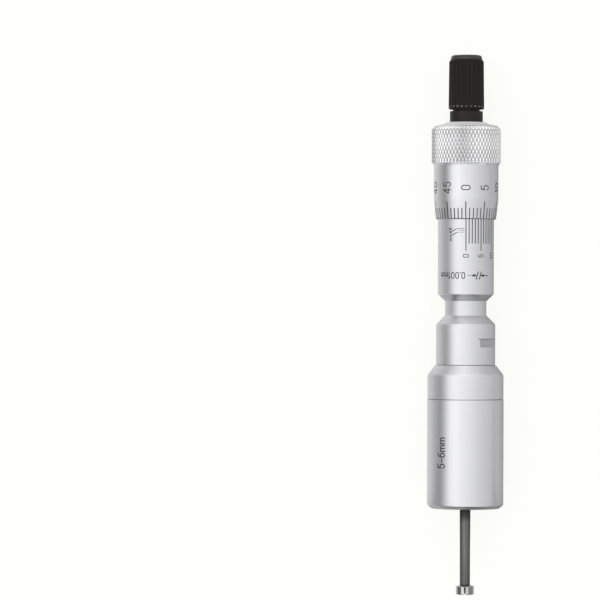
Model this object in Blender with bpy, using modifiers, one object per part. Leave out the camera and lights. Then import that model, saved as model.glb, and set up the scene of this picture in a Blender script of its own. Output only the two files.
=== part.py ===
"""Two-point inside micrometer for small bores, lying on its side.

Everything is modelled upright round one axis: z runs up from the measuring head to the ratchet
knob, X is to the right and -Y is the front, where the scales are read. An empty then lays the
instrument down, so that its axis runs along world +Y and its front looks up.
Lengths are metres.
"""

import math

import bmesh
import bpy
from mathutils import Matrix, Vector

# Fits: gaps between neighbours, in the radius or along the axis
RUNNING = 0.00005
SEAT = 0.00005
PRESSED = 0.00002
THIMBLE_PLAY = 0.00015
TOOTH_PLAY = 0.0001

# Travels
THIMBLE_TRAVEL = 0.0035
CONTACT_TRAVEL = 0.0005
CONE_TAPER = 0.5
PUSH_TRAVEL = CONTACT_TRAVEL / CONE_TAPER

# Measuring head
HEAD_D = 0.0050
HEAD_H = 0.0024
HEAD_EDGE = 0.0002
HEAD_SLIT = 0.0006
NOSE_SLIT = 0.00024
NOSE_W = 0.0011
GUIDE_PIN_D = 0.0003
GUIDE_PIN_L = 0.0038
GUIDE_PIN_Z = 0.0009
PRONG_T = 0.0007
PRONG_END = 0.0003
RING_D = 0.0038
RING_WIRE = 0.0003
RING_GAP_DEG = 30.0
RING_DEPTH = 0.00025

# Needle and stem
NEEDLE_D = 0.0012
NEEDLE_POINT_D = 0.00016
NEEDLE_END = 0.00016
NEEDLE_PLAY = 0.000075
NEEDLE_GRIP = 0.0080
STEM_WALL = 0.000775
STEM_D = NEEDLE_D + 2 * (NEEDLE_PLAY + STEM_WALL)
STEM_ROOT_STEP = 0.000075
STEM_ROOT_D = STEM_D + 2 * STEM_ROOT_STEP
STEM_ROOT_L = 0.0060
STEM_SHOWN = 0.0215
STEM_HELD = 0.0071

# Spindle and thrust ball
SPINDLE_D = 0.00635
THREAD_STEP = 0.000325
THREAD_D = SPINDLE_D + 2 * THREAD_STEP
THREAD_L = 0.0159
BALL_D = 0.0040
SPINDLE_BOTTOM_DROP = 0.0386
SPINDLE_NECK_STEP = 0.0006
SPINDLE_NECK_D = THREAD_D - 2 * SPINDLE_NECK_STEP
TAPER_IN = 0.0003
SPINDLE_TIP_D = SPINDLE_NECK_D - 2 * TAPER_IN
SPINDLE_STICKOUT = 0.0010
TAP_D = 0.0025
TAP_L = 0.0072

# Push rod and its spring
GUIDE_BORE_D = SPINDLE_D + 2 * RUNNING
ROD_HEAD_L = 0.0077
ROD_D = 0.0025
ROD_EDGE = 0.0004
ROD_TAIL = 0.0010
KEYWAY_DEPTH = 0.0010
SPRING_WIRE = 0.0006
SPRING_PLAY = 0.000525
SPRING_D = GUIDE_BORE_D - 2 * SPRING_PLAY - SPRING_WIRE
SPRING_TURNS = 7

# Stem holder, its bush and screws
HOLDER_PLAY = 0.0001
FLANGE_T = 0.0030
BUSH_WALL = 0.00095
BUSH_D = ROD_D + 2 * BUSH_WALL
BUSH_L = 0.0049
HUB_WALL = 0.0006
HUB_D = BUSH_D + 2 * HUB_WALL
HUB_L = 0.0070
SCREW_FROM_HUB = 0.0018
SCREW_CIRCLE_D = HUB_D + 2 * SCREW_FROM_HUB
SCREW_D = 0.0016
SCREW_HEAD_D = 0.0030
SCREW_HEAD_H = 0.0012
SCREW_BITE = 0.0020
SCREW_SLOT_W = 0.0004
SCREW_SLOT_H = 0.0006

# Barrel and its cap
SCREW_FROM_WALL = 0.0019
CAVITY_D = SCREW_CIRCLE_D + 2 * SCREW_FROM_WALL
SPIGOT_STEP = 0.0020
SPIGOT_D = CAVITY_D + 2 * SPIGOT_STEP
SPIGOT_L = 0.0080
SPIGOT_RELIEF = 0.0005
BARREL_WALL = 0.00215
BARREL_D = SPIGOT_D + 2 * BARREL_WALL
BARREL_L = 0.0306
BARREL_FILLET = 0.0013
BARREL_FLOOR = 0.0031
SEAM_EDGE = 0.00015
CAP_STEP = 0.00005
CAP_D = BARREL_D - 2 * CAP_STEP
CAP_L = 0.0093
CAP_SLOPE_W = 0.0019
CAP_RIM_D = CAP_D - 2 * CAP_SLOPE_W
CAP_SHOULDER_L = 0.0034
CAP_SHOULDER_R = 0.0011

# Main tube: shank, connector with wrench flats, neck, inner sleeve and slit nose
SHANK_WALL = 0.002275
SHANK_D = GUIDE_BORE_D + 2 * SHANK_WALL
SHANK_COVER = 0.00255
RIM_LEDGE = 0.00045
CONNECTOR_D = CAP_RIM_D - 2 * RIM_LEDGE
CONNECTOR_L = 0.0141
FLAT_DEPTH = 0.00093
FLAT_H = 0.0024
FLAT_UP = 0.0052
FLAT_TURN_DEG = 57.0
NOSE_WALL = 0.00205
NOSE_D = THREAD_D + 2 * (RUNNING + NOSE_WALL)
NOSE_L = 0.0060
NOSE_GAP = 0.0005
NOSE_STEP = 0.0013
INNER_SLEEVE_D = NOSE_D + 2 * NOSE_STEP
NECK_STEP = 0.00115
NECK_D = INNER_SLEEVE_D - 2 * NECK_STEP
NECK_L = 0.0040
NUT_BORE_L = 0.0195
NOSE_CUT_W = 0.0004
NOSE_CUT_L = 0.0115
NOSE_CUTS = 3
KEY_D = 0.0015
KEY_UP = 0.0052
KEY_REACH = 0.0009

# Graduated sleeve and adjusting nut
SLEEVE_WALL = 0.00085
SLEEVE_D = INNER_SLEEVE_D + 2 * (RUNNING + SLEEVE_WALL)
SLEEVE_SHOWN = 0.0227
SLEEVE_OVER = 0.0008
SLEEVE_LIP = 0.0005
SLEEVE_HOLE_D = 0.0015
SLEEVE_HOLE_UP = 0.0046
NUT_WALL = 0.00145
NUT_D = NOSE_D + 2 * (RUNNING + NUT_WALL)
NUT_L = 0.0044
NUT_EDGE = 0.0003
NUT_SLOT_W = 0.0012
NUT_SLOT_H = 0.0010

# Ratchet
RATCHET_NECK_D = 0.0075
RATCHET_NECK_L = 0.0022
COLLAR_STEP = 0.00085
COLLAR_D = RATCHET_NECK_D + 2 * COLLAR_STEP
COLLAR_L = 0.00305
COLLAR_SOCKET_L = 0.0016
GROOVE_L = 0.0005
TOOTH_COUNT = 12
TOOTH_H = 0.0007
TOOTH_D = 0.0064
CLUTCH_L = 0.0032
CLUTCH_CORNER_D = 0.0078
SHANK_SCREW_D = 0.0030
CLUTCH_SPRING_WIRE = 0.00045
CLUTCH_SPRING_GAP = 0.0011
CLUTCH_SPRING_D = SHANK_SCREW_D + 2 * CLUTCH_SPRING_GAP
CLUTCH_SPRING_L = 0.00185
CLUTCH_SPRING_TURNS = 2.5
CAP_SCREW_HEAD_D = 0.0050
CAP_SCREW_HEAD_H = 0.0018
CAP_SCREW_SLOT_W = 0.0007
KNOB_WALL = 0.0010
KNOB_D = CLUTCH_CORNER_D + 4 * RUNNING + 2 * KNOB_WALL
KNOB_ROOF_T = 0.0033
KNOB_RECESS_L = 0.0042
KNOB_RECESS_PLAY = 0.0004
KNOB_RECESS_D = CAP_SCREW_HEAD_D + 2 * KNOB_RECESS_PLAY
KNOB_TAPER = 0.00015
KNOB_TOP_D = KNOB_D - 2 * KNOB_TAPER
KNOB_SHOULDER = 0.0005
KNOB_BOSS_D = KNOB_TOP_D - 2 * KNOB_SHOULDER
KNOB_BOSS_H = 0.0013
KNOB_FOOT_STEP = 0.0001
KNOB_FOOT_D = KNOB_D - 2 * KNOB_FOOT_STEP
KNOB_FOOT_H = 0.0003
RIB_RUNOUT = 0.0009
RIB_COUNT = 24
RIB_DEPTH = 0.0004

# Thimble
THIMBLE_WALL = 0.00105
THIMBLE_D = SLEEVE_D + 2 * (THIMBLE_PLAY + THIMBLE_WALL)
THIMBLE_L = 0.0272
THIMBLE_LIP_T = 0.0004
THIMBLE_LIP_D = SLEEVE_D + 2 * (THIMBLE_PLAY + THIMBLE_LIP_T)
THIMBLE_CONE_L = 0.0056
THIMBLE_END_T = 0.0043
KNURL_STEP = 0.0007
KNURL_D = THIMBLE_D + 2 * KNURL_STEP
KNURL_DEPTH = 0.00033
KNURL_COUNT = 58
KNURL_ROWS = 8
KNURL_ROW_H = 0.00109
KNURL_RUNOUT = 0.0009
KNURL_CORNER = 0.00115
SHOULDER_STEP = 0.00095
SHOULDER_D = KNURL_D - 2 * SHOULDER_STEP
CROWN_RISE = 0.0013
CROWN_LAND = 0.0008
CROWN_D = COLLAR_D + 2 * CROWN_LAND
CROWN_MID_STEP = 0.0012
CROWN_MID_D = CROWN_D + 2 * CROWN_MID_STEP

# Sides of the turned pieces, by size
LARGE = 32
MEDIUM = 20
SMALL = 16
TINY = 12

# Stations along the axis, from the tip up
Z_STEM = HEAD_H + SEAT
Z_BARREL = HEAD_H + STEM_SHOWN
Z_FLOOR = Z_BARREL + BARREL_FLOOR
Z_SEAM = Z_BARREL + BARREL_L
Z_CAP_TOP = Z_SEAM + CAP_L
Z_NECK = Z_CAP_TOP + CONNECTOR_L
Z_SLEEVE = Z_NECK + NECK_L
Z_THIMBLE = Z_SLEEVE + SLEEVE_SHOWN
Z_THIMBLE_TOP = Z_THIMBLE + THIMBLE_L
Z_COLLAR = Z_THIMBLE_TOP + COLLAR_L
Z_KNOB = Z_COLLAR + GROOVE_L
Z_TEETH = Z_COLLAR + RATCHET_NECK_L
Z_CLUTCH = Z_TEETH + TOOTH_H + 2 * TOOTH_PLAY
Z_CHAMBER_TOP = Z_CLUTCH + CLUTCH_L + CLUTCH_SPRING_L
Z_SCREW_SEAT = Z_CHAMBER_TOP + KNOB_ROOF_T
Z_TOP = Z_SCREW_SEAT + KNOB_RECESS_L
KNOB_L = Z_TOP - Z_KNOB

Z_STEM_TOP = Z_BARREL + STEM_HELD
Z_FLANGE_TOP = Z_FLOOR + SEAT + FLANGE_T
Z_HUB_TOP = Z_FLANGE_TOP + HUB_L
Z_THREAD_TOP = Z_THIMBLE_TOP - THIMBLE_END_T - THIMBLE_TRAVEL
Z_TUBE_TOP = Z_THREAD_TOP - NOSE_GAP
Z_NOSE = Z_TUBE_TOP - NOSE_L
Z_SLEEVE_TOP = Z_NOSE + SLEEVE_OVER
Z_NUT = Z_SLEEVE_TOP + SEAT
Z_SPINDLE = Z_THIMBLE - SPINDLE_BOTTOM_DROP
Z_BALL = Z_SPINDLE + BALL_D / 2 - math.sqrt(2) * (BALL_D / 2 + SEAT)
Z_ROD_TOP = Z_BALL - BALL_D / 2 - (THIMBLE_TRAVEL - PUSH_TRAVEL) - SEAT
Z_ROD_SHOULDER = Z_ROD_TOP - ROD_HEAD_L
Z_SHANK = Z_ROD_SHOULDER - SHANK_COVER
Z_ROD_END = Z_STEM_TOP + PUSH_TRAVEL + ROD_TAIL
Z_KEY = Z_ROD_TOP - KEY_UP
Z_CONE = PUSH_TRAVEL + NEEDLE_END - NEEDLE_POINT_D / 2 / CONE_TAPER

# Colours, roughness and metallic value of each finish
FINISHES = {
    "satin_chrome": ((0.72, 0.72, 0.74), 0.34, 1.0),
    "dark_steel": ((0.16, 0.16, 0.165), 0.38, 1.0),
    "polished_steel": ((0.80, 0.80, 0.81), 0.12, 1.0),
    "bright_steel": ((0.62, 0.62, 0.63), 0.25, 1.0),
    "black_plastic": ((0.018, 0.018, 0.019), 0.42, 0.0),
    "bronze": ((0.55, 0.36, 0.17), 0.35, 1.0),
    "spring_steel": ((0.45, 0.45, 0.47), 0.30, 1.0),
}


def clear_scene():
    for obj in list(bpy.data.objects):
        bpy.data.objects.remove(obj, do_unlink=True)
    for collection in list(bpy.data.collections):
        bpy.data.collections.remove(collection)


def new_collection(name):
    collection = bpy.data.collections.new(name)
    bpy.context.scene.collection.children.link(collection)
    return collection


clear_scene()
PARTS = new_collection("inside_micrometer")
CUTTERS = new_collection("cutters")
AXIS = bpy.data.objects.new("instrument_axis", None)
AXIS.location = (0.0, -Z_TOP / 2, BARREL_D / 2)
AXIS.rotation_euler = (-math.pi / 2, 0.0, 0.0)
PARTS.objects.link(AXIS)


def finish_of(name, finish):
    """A material of the piece's own, in one of the finishes."""
    color, roughness, metallic = FINISHES[finish]
    material = bpy.data.materials.new(name + "_" + finish)
    material.use_nodes = True
    shader = material.node_tree.nodes["Principled BSDF"]
    shader.inputs["Base Color"].default_value = (*color, 1.0)
    shader.inputs["Roughness"].default_value = roughness
    shader.inputs["Metallic"].default_value = metallic
    material.diffuse_color = (*color, 1.0)
    return material


def add_piece(name, mesh, finish, base=0.0, turn=0.0):
    """Puts a mesh on the instrument's axis as a named piece, at its own height and turn."""
    obj = bpy.data.objects.new(name, mesh)
    if not mesh.materials:
        mesh.materials.append(finish_of(name, finish))
    PARTS.objects.link(obj)
    obj.parent = AXIS
    obj.location.z = base
    obj.rotation_euler.z = turn
    return obj


def add_cutter(name, mesh, base=0.0, turn=0.0):
    """A hidden helper in the instrument's frame, for a Boolean."""
    obj = bpy.data.objects.new(name, mesh)
    CUTTERS.objects.link(obj)
    obj.parent = AXIS
    obj.location.z = base
    obj.rotation_euler.z = turn
    obj.hide_render = True
    obj.display_type = "WIRE"
    return obj


def boolean(obj, cutter, operation="DIFFERENCE"):
    modifier = obj.modifiers.new(cutter.name, "BOOLEAN")
    modifier.operation = operation
    modifier.solver = "EXACT"
    modifier.object = cutter
    return obj


def mesh_from(bm, name):
    bmesh.ops.recalc_face_normals(bm, faces=bm.faces)
    mesh = bpy.data.meshes.new(name)
    bm.to_mesh(mesh)
    bm.free()
    mesh.shade_smooth()
    mesh.set_sharp_from_angle(angle=math.radians(30))
    return mesh


def profile_mesh(name, points, base, sides):
    """An open or closed wire (radius, z), set half a side round so that flats face X and Y.

    Radii are those of the flats' middles, so a many-sided piece keeps its true width across flats.
    """
    half = math.pi / sides
    closed = points[0] == points[-1]
    corners = points[:-1] if closed else points
    mesh = bpy.data.meshes.new(name)
    verts = []
    for radius, z in corners:
        corner = radius / math.cos(half)
        verts.append((corner * math.cos(half), corner * math.sin(half), z - base))
    edges = [(i, i + 1) for i in range(len(verts) - 1)]
    if closed:
        edges.append((len(verts) - 1, 0))
    mesh.from_pydata(verts, edges, [])
    return mesh


def add_screw(obj, sides):
    modifier = obj.modifiers.new("turned", "SCREW")
    modifier.axis = "Z"
    modifier.angle = 2 * math.pi
    modifier.steps = sides
    modifier.render_steps = sides
    modifier.use_merge_vertices = True
    modifier.merge_threshold = 1e-6
    modifier.use_smooth_shade = True
    return obj


def turned(name, points, finish, sides, base=None):
    """A turned piece: its outer side top to bottom, then on up its bore, as a Screw of a profile."""
    base = min(z for _, z in points) if base is None else base
    obj = add_piece(name, profile_mesh(name, points, base, sides), finish, base)
    return add_screw(obj, sides)


def turned_cutter(name, points, sides):
    obj = add_cutter(name, profile_mesh(name, points, 0.0, sides))
    return add_screw(obj, sides)


def arc(center_r, center_z, radius, start_deg, end_deg, count):
    """Points of an arc in the (radius, z) plane."""
    points = []
    for i in range(count + 1):
        angle = math.radians(start_deg + (end_deg - start_deg) * i / count)
        points.append((center_r + radius * math.cos(angle), center_z + radius * math.sin(angle)))
    return points


def box_mesh(name, low, high):
    bm = bmesh.new()
    bmesh.ops.create_cube(bm, size=1.0)
    low, high = Vector(low), Vector(high)
    bmesh.ops.scale(bm, vec=high - low, verts=bm.verts)
    bmesh.ops.translate(bm, vec=(low + high) / 2, verts=bm.verts)
    return mesh_from(bm, name)


def rod_mesh(name, radius, start, end, sides):
    """A plain round rod from one point to another, its radius across the flats."""
    start, end = Vector(start), Vector(end)
    bm = bmesh.new()
    bmesh.ops.create_cone(
        bm,
        cap_ends=True,
        segments=sides,
        radius1=radius / math.cos(math.pi / sides),
        radius2=radius / math.cos(math.pi / sides),
        depth=(end - start).length,
    )
    turn = (end - start).to_track_quat("Z", "Y").to_matrix().to_4x4()
    flats = Matrix.Rotation(math.pi / sides, 4, "Z")
    place = Matrix.Translation((start + end) / 2) @ turn @ flats
    bmesh.ops.transform(bm, matrix=place, verts=bm.verts)
    return mesh_from(bm, name)


def extruded_mesh(name, outline, low_y, high_y):
    """A closed outline in the XZ plane, made solid along Y."""
    bm = bmesh.new()
    face = bm.faces.new([bm.verts.new((x, low_y, z)) for x, z in outline])
    made = bmesh.ops.extrude_face_region(bm, geom=[face])["geom"]
    moved = [v for v in made if isinstance(v, bmesh.types.BMVert)]
    bmesh.ops.translate(bm, vec=(0.0, high_y - low_y, 0.0), verts=moved)
    return mesh_from(bm, name)


def coil(name, finish, mean_d, wire_d, low, high, turns, points_per_turn=10):
    """A compression spring: a helix between two flat half turns, swept by a round wire."""
    count = int(turns * points_per_turn)
    room = high - low - wire_d
    flat = 0.5
    curve = bpy.data.curves.new(name, "CURVE")
    curve.dimensions = "3D"
    curve.bevel_depth = wire_d / 2
    curve.bevel_resolution = 1
    curve.use_fill_caps = True
    spline = curve.splines.new("POLY")
    spline.points.add(count)
    for i, point in enumerate(spline.points):
        turn = turns * i / count
        share = min(1.0, max(0.0, (turn - flat) / (turns - 2 * flat)))
        angle = 2 * math.pi * turn
        z = wire_d / 2 + room * share
        point.co = (mean_d / 2 * math.cos(angle), mean_d / 2 * math.sin(angle), z, 1.0)
    obj = bpy.data.objects.new(name, curve)
    curve.materials.append(finish_of(name, finish))
    PARTS.objects.link(obj)
    obj.parent = AXIS
    obj.location.z = low
    return obj


def tooth_ring(name, inner_r, outer_r, flat_z, root_z, height, up, lead_deg):
    """A ring of saw-tooth face teeth: each tooth ramps up over its pitch and then drops steeply.

    flat_z is the plain end of the ring, root_z the foot of the teeth, up is 1 or -1 for the way
    that they point, and lead_deg turns the whole ring.
    """
    bm = bmesh.new()
    columns = []
    for tooth in range(TOOTH_COUNT):
        for share, rise in ((0.0, 0.0), (0.48, 0.5), (0.96, 1.0)):
            angle = 2 * math.pi * (tooth + share) / TOOTH_COUNT + math.radians(lead_deg)
            direction = Vector((math.cos(angle), math.sin(angle), 0.0))
            top = root_z + height * (rise if up > 0 else rise - 1.0)
            column = []
            for r, z in ((inner_r, flat_z), (outer_r, flat_z), (outer_r, top), (inner_r, top)):
                column.append(bm.verts.new(direction * r + Vector((0.0, 0.0, z))))
            columns.append(column)
    for index, column in enumerate(columns):
        after = columns[(index + 1) % len(columns)]
        for side in range(4):
            other = (side + 1) % 4
            bm.faces.new([column[side], column[other], after[other], after[side]])
    return mesh_from(bm, name)


def barrel():
    """The lower grip: a cup whose floor holds the stem and whose mouth takes the cap's spigot."""
    r = BARREL_D / 2
    hole_r = STEM_ROOT_D / 2 + HOLDER_PLAY
    mouth_r = SPIGOT_D / 2 + RUNNING
    top = Z_SEAM
    mouth_z = Z_SEAM - SPIGOT_L - SPIGOT_RELIEF
    fillet = arc(r - BARREL_FILLET, Z_BARREL + BARREL_FILLET, BARREL_FILLET, 0, -90, 4)
    points = [(mouth_r, top), (r - SEAM_EDGE, top), (r, top - SEAM_EDGE)]
    points += fillet
    points += [(hole_r, Z_BARREL), (hole_r, Z_FLOOR)]
    points += [(CAVITY_D / 2, Z_FLOOR), (CAVITY_D / 2, mouth_z), (mouth_r, mouth_z), (mouth_r, top)]
    obj = turned("barrel", points, "satin_chrome", LARGE)
    for side, label in ((1, "right"), (-1, "left")):
        x = side * SCREW_CIRCLE_D / 2
        start = (x, 0.0, Z_FLOOR - SCREW_BITE - 2 * SEAT)
        end = (x, 0.0, Z_FLOOR + FLANGE_T)
        mesh = rod_mesh("tapped_hole_" + label, SCREW_D / 2 + PRESSED, start, end, TINY)
        boolean(obj, add_cutter("tapped_hole_" + label, mesh))
    return obj


def barrel_cap():
    """The upper collar: spigot below, sloping rounded shoulder above, bored for the tube's shank."""
    r, rim_r, spigot_r = CAP_D / 2, CAP_RIM_D / 2, SPIGOT_D / 2
    bore_r = SHANK_D / 2 + RUNNING
    foot = Z_SEAM + SEAT
    shoulder_z = Z_CAP_TOP - CAP_SHOULDER_L
    slope = math.degrees(math.atan2(CAP_SHOULDER_L - CAP_SHOULDER_R * 0.5, r - rim_r))
    corner = arc(r - CAP_SHOULDER_R, shoulder_z, CAP_SHOULDER_R, 90 - slope, 0, 3)
    points = [(bore_r, Z_CAP_TOP), (rim_r - SEAM_EDGE, Z_CAP_TOP), (rim_r, Z_CAP_TOP - SEAM_EDGE)]
    points += corner
    points += [(r, foot + SEAM_EDGE), (r - SEAM_EDGE, foot), (spigot_r, foot)]
    points += [(spigot_r, Z_SEAM - SPIGOT_L), (bore_r, Z_SEAM - SPIGOT_L), (bore_r, Z_CAP_TOP)]
    return turned("barrel_cap", points, "satin_chrome", LARGE)


def stem():
    """The thin tube down to the head, with two prongs that reach into the slit between the contacts."""
    r, root_r = STEM_D / 2, STEM_ROOT_D / 2
    bore_r = NEEDLE_D / 2 + NEEDLE_PLAY
    step_z = Z_BARREL - STEM_ROOT_L
    points = [(bore_r, Z_STEM_TOP), (root_r, Z_STEM_TOP), (root_r, step_z), (r, step_z - (root_r - r))]
    points += [(r, Z_STEM), (bore_r, Z_STEM), (bore_r, Z_STEM_TOP)]
    obj = turned("stem", points, "dark_steel", MEDIUM)
    prong_y = (r + bore_r) / 2
    half_w = (HEAD_SLIT / 2) * 2 / 3
    for side, label in ((-1, "front"), (1, "back")):
        low = (-half_w, side * prong_y - PRONG_T / 2, PRONG_END)
        high = (half_w, side * prong_y + PRONG_T / 2, Z_STEM + HEAD_H / 2)
        boolean(obj, add_cutter("prong_" + label, box_mesh("prong_" + label, low, high)), "UNION")
    for side, label in ((-1, "front"), (1, "back")):
        reach = (GUIDE_PIN_L, side * prong_y, GUIDE_PIN_Z)
        back = (-GUIDE_PIN_L, side * prong_y, GUIDE_PIN_Z)
        mesh = rod_mesh("prong_hole_" + label, GUIDE_PIN_D / 2 + PRESSED, back, reach, TINY)
        boolean(obj, add_cutter("prong_hole_" + label, mesh))
    return obj


def guide_pins():
    """Two cross pins, held in the prongs, on which the contacts slide."""
    prong_y = (STEM_D / 2 + NEEDLE_D / 2 + NEEDLE_PLAY) / 2
    for side, label in ((-1, "front"), (1, "back")):
        start = (-GUIDE_PIN_L / 2, side * prong_y, GUIDE_PIN_Z)
        end = (GUIDE_PIN_L / 2, side * prong_y, GUIDE_PIN_Z)
        mesh = rod_mesh("guide_pin_" + label, GUIDE_PIN_D / 2, start, end, TINY)
        add_piece("guide_pin_" + label, mesh, "bright_steel")


def contacts():
    """Two half-disc contacts: the cone wedges their sloped inner noses apart along the guide pins."""
    r = HEAD_D / 2
    disc = [(0.0, HEAD_H), (r - HEAD_EDGE, HEAD_H), (r, HEAD_H - HEAD_EDGE), (r, HEAD_EDGE)]
    disc += [(r - HEAD_EDGE, 0.0), (0.0, 0.0)]
    blank = turned("contact_blank", disc, "polished_steel", LARGE)
    side_x, nose_x, far = HEAD_SLIT / 2, NOSE_SLIT / 2, HEAD_D
    outlines = {
        "slit_front": (side_x, -far, -NOSE_W / 2),
        "slit_back": (side_x, NOSE_W / 2, far),
        "slit_nose": (nose_x, -far, far),
    }
    for name, (edge_x, low_y, high_y) in outlines.items():
        mesh = box_mesh(name, (-far, low_y, -HEAD_H), (edge_x, high_y, 2 * HEAD_H))
        boolean(blank, add_cutter(name, mesh))
    foot_z = Z_CONE + (nose_x - RUNNING) / CONE_TAPER
    head_x = RUNNING + CONE_TAPER * (2 * HEAD_H - Z_CONE)
    wedge = [(0.0, foot_z), (nose_x, foot_z), (head_x, 2 * HEAD_H), (0.0, 2 * HEAD_H)]
    wedge_mesh = extruded_mesh("cone_ramp", wedge, -NOSE_W, NOSE_W)
    boolean(blank, add_cutter("cone_ramp", wedge_mesh))
    prong_y = (STEM_D / 2 + NEEDLE_D / 2 + NEEDLE_PLAY) / 2
    for side, label in ((-1, "front"), (1, "back")):
        start = (-r, side * prong_y, GUIDE_PIN_Z)
        end = (GUIDE_PIN_L / 2 + 2 * SEAT, side * prong_y, GUIDE_PIN_Z)
        mesh = rod_mesh("pin_bore_" + label, GUIDE_PIN_D / 2 + RUNNING, start, end, TINY)
        boolean(blank, add_cutter("pin_bore_" + label, mesh))
    inner_r = RING_D / 2 - RING_WIRE / 2 - RUNNING
    outer_r = RING_D / 2 + RING_WIRE / 2 + RUNNING
    floor_z = HEAD_H - RING_DEPTH - RING_WIRE / 2 - RUNNING
    groove = [(inner_r, 2 * HEAD_H), (outer_r, 2 * HEAD_H), (outer_r, floor_z), (inner_r, floor_z)]
    groove.append(groove[0])
    boolean(blank, turned_cutter("ring_groove", groove, LARGE))
    graph = bpy.context.evaluated_depsgraph_get()
    mesh = bpy.data.meshes.new_from_object(blank.evaluated_get(graph))
    bpy.data.objects.remove(blank)
    add_piece("contact_right", mesh, "polished_steel")
    add_piece("contact_left", mesh, "polished_steel", turn=math.pi)


def contact_spring():
    """An open wire ring, laid in the contacts' groove, that draws them together."""
    sides = 24
    curve = bpy.data.curves.new("contact_spring", "CURVE")
    curve.dimensions = "3D"
    curve.bevel_depth = RING_WIRE / 2
    curve.bevel_resolution = 1
    curve.use_fill_caps = True
    spline = curve.splines.new("POLY")
    spline.points.add(sides)
    start = 90.0 + RING_GAP_DEG / 2
    for i, point in enumerate(spline.points):
        angle = math.radians(start + (360.0 - RING_GAP_DEG) * i / sides)
        point.co = (RING_D / 2 * math.cos(angle), RING_D / 2 * math.sin(angle), 0.0, 1.0)
    obj = bpy.data.objects.new("contact_spring", curve)
    curve.materials.append(finish_of("contact_spring", "spring_steel"))
    PARTS.objects.link(obj)
    obj.parent = AXIS
    obj.location.z = HEAD_H - RING_DEPTH


def needle():
    """The long thin rod in the stem, its lower end the measuring cone."""
    r, point_r = NEEDLE_D / 2, NEEDLE_POINT_D / 2
    point_z = Z_CONE + point_r / CONE_TAPER
    shoulder_z = Z_CONE + r / CONE_TAPER
    top = Z_ROD_END + NEEDLE_GRIP
    points = [(0.0, top), (r, top), (r, shoulder_z), (point_r, point_z), (0.0, point_z)]
    turned("needle", points, "polished_steel", SMALL)


def stem_holder():
    """The flanged seat on the barrel's floor, bored below for the stem and above for the bush."""
    r, hub_r = CAVITY_D / 2 - HOLDER_PLAY, HUB_D / 2
    stem_r = STEM_ROOT_D / 2 + PRESSED
    bush_r = BUSH_D / 2 + PRESSED
    ledge_z = Z_HUB_TOP - BUSH_L - SEAT
    foot = Z_FLOOR + SEAT
    points = [(bush_r, Z_HUB_TOP), (hub_r, Z_HUB_TOP), (hub_r, Z_FLANGE_TOP), (r, Z_FLANGE_TOP)]
    points += [(r, foot), (stem_r, foot), (stem_r, ledge_z), (bush_r, ledge_z), (bush_r, Z_HUB_TOP)]
    obj = turned("stem_holder", points, "bright_steel", MEDIUM)
    for side, label in ((1, "right"), (-1, "left")):
        x = side * SCREW_CIRCLE_D / 2
        start, end = (x, 0.0, Z_FLOOR - FLANGE_T), (x, 0.0, Z_FLANGE_TOP + FLANGE_T)
        mesh = rod_mesh("screw_hole_" + label, SCREW_D / 2 + HOLDER_PLAY, start, end, TINY)
        boolean(obj, add_cutter("screw_hole_" + label, mesh))


def holder_screws():
    """Two small slotted screws that hold the stem holder to the barrel's floor."""
    r, head_r = SCREW_D / 2, SCREW_HEAD_D / 2
    seat_z = Z_FLANGE_TOP + SEAT
    top, tip = seat_z + SCREW_HEAD_H, Z_FLOOR - SCREW_BITE
    edge = SCREW_D / 8
    points = [(0.0, top), (head_r - edge, top), (head_r, top - edge), (head_r, seat_z), (r, seat_z)]
    points += [(r, tip + edge), (r - edge, tip), (0.0, tip)]
    for side, label in ((1, "right"), (-1, "left")):
        x = side * SCREW_CIRCLE_D / 2
        obj = turned("holder_screw_" + label, points, "dark_steel", TINY)
        obj.location.x = x
        low = (x - SCREW_HEAD_D, -SCREW_SLOT_W / 2, top - SCREW_SLOT_H)
        high = (x + SCREW_HEAD_D, SCREW_SLOT_W / 2, top + SCREW_SLOT_H)
        boolean(obj, add_cutter("screw_slot_" + label, box_mesh("screw_slot_" + label, low, high)))


def guide_bush():
    """The bronze bush that guides the push rod's shaft."""
    r, bore_r = BUSH_D / 2, ROD_D / 2 + RUNNING
    foot = Z_HUB_TOP - BUSH_L
    edge = PRESSED * 10
    points = [(bore_r, Z_HUB_TOP), (r - edge, Z_HUB_TOP), (r, Z_HUB_TOP - edge), (r, foot)]
    points += [(bore_r, foot), (bore_r, Z_HUB_TOP)]
    turned("guide_bush", points, "bronze", MEDIUM)


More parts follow.
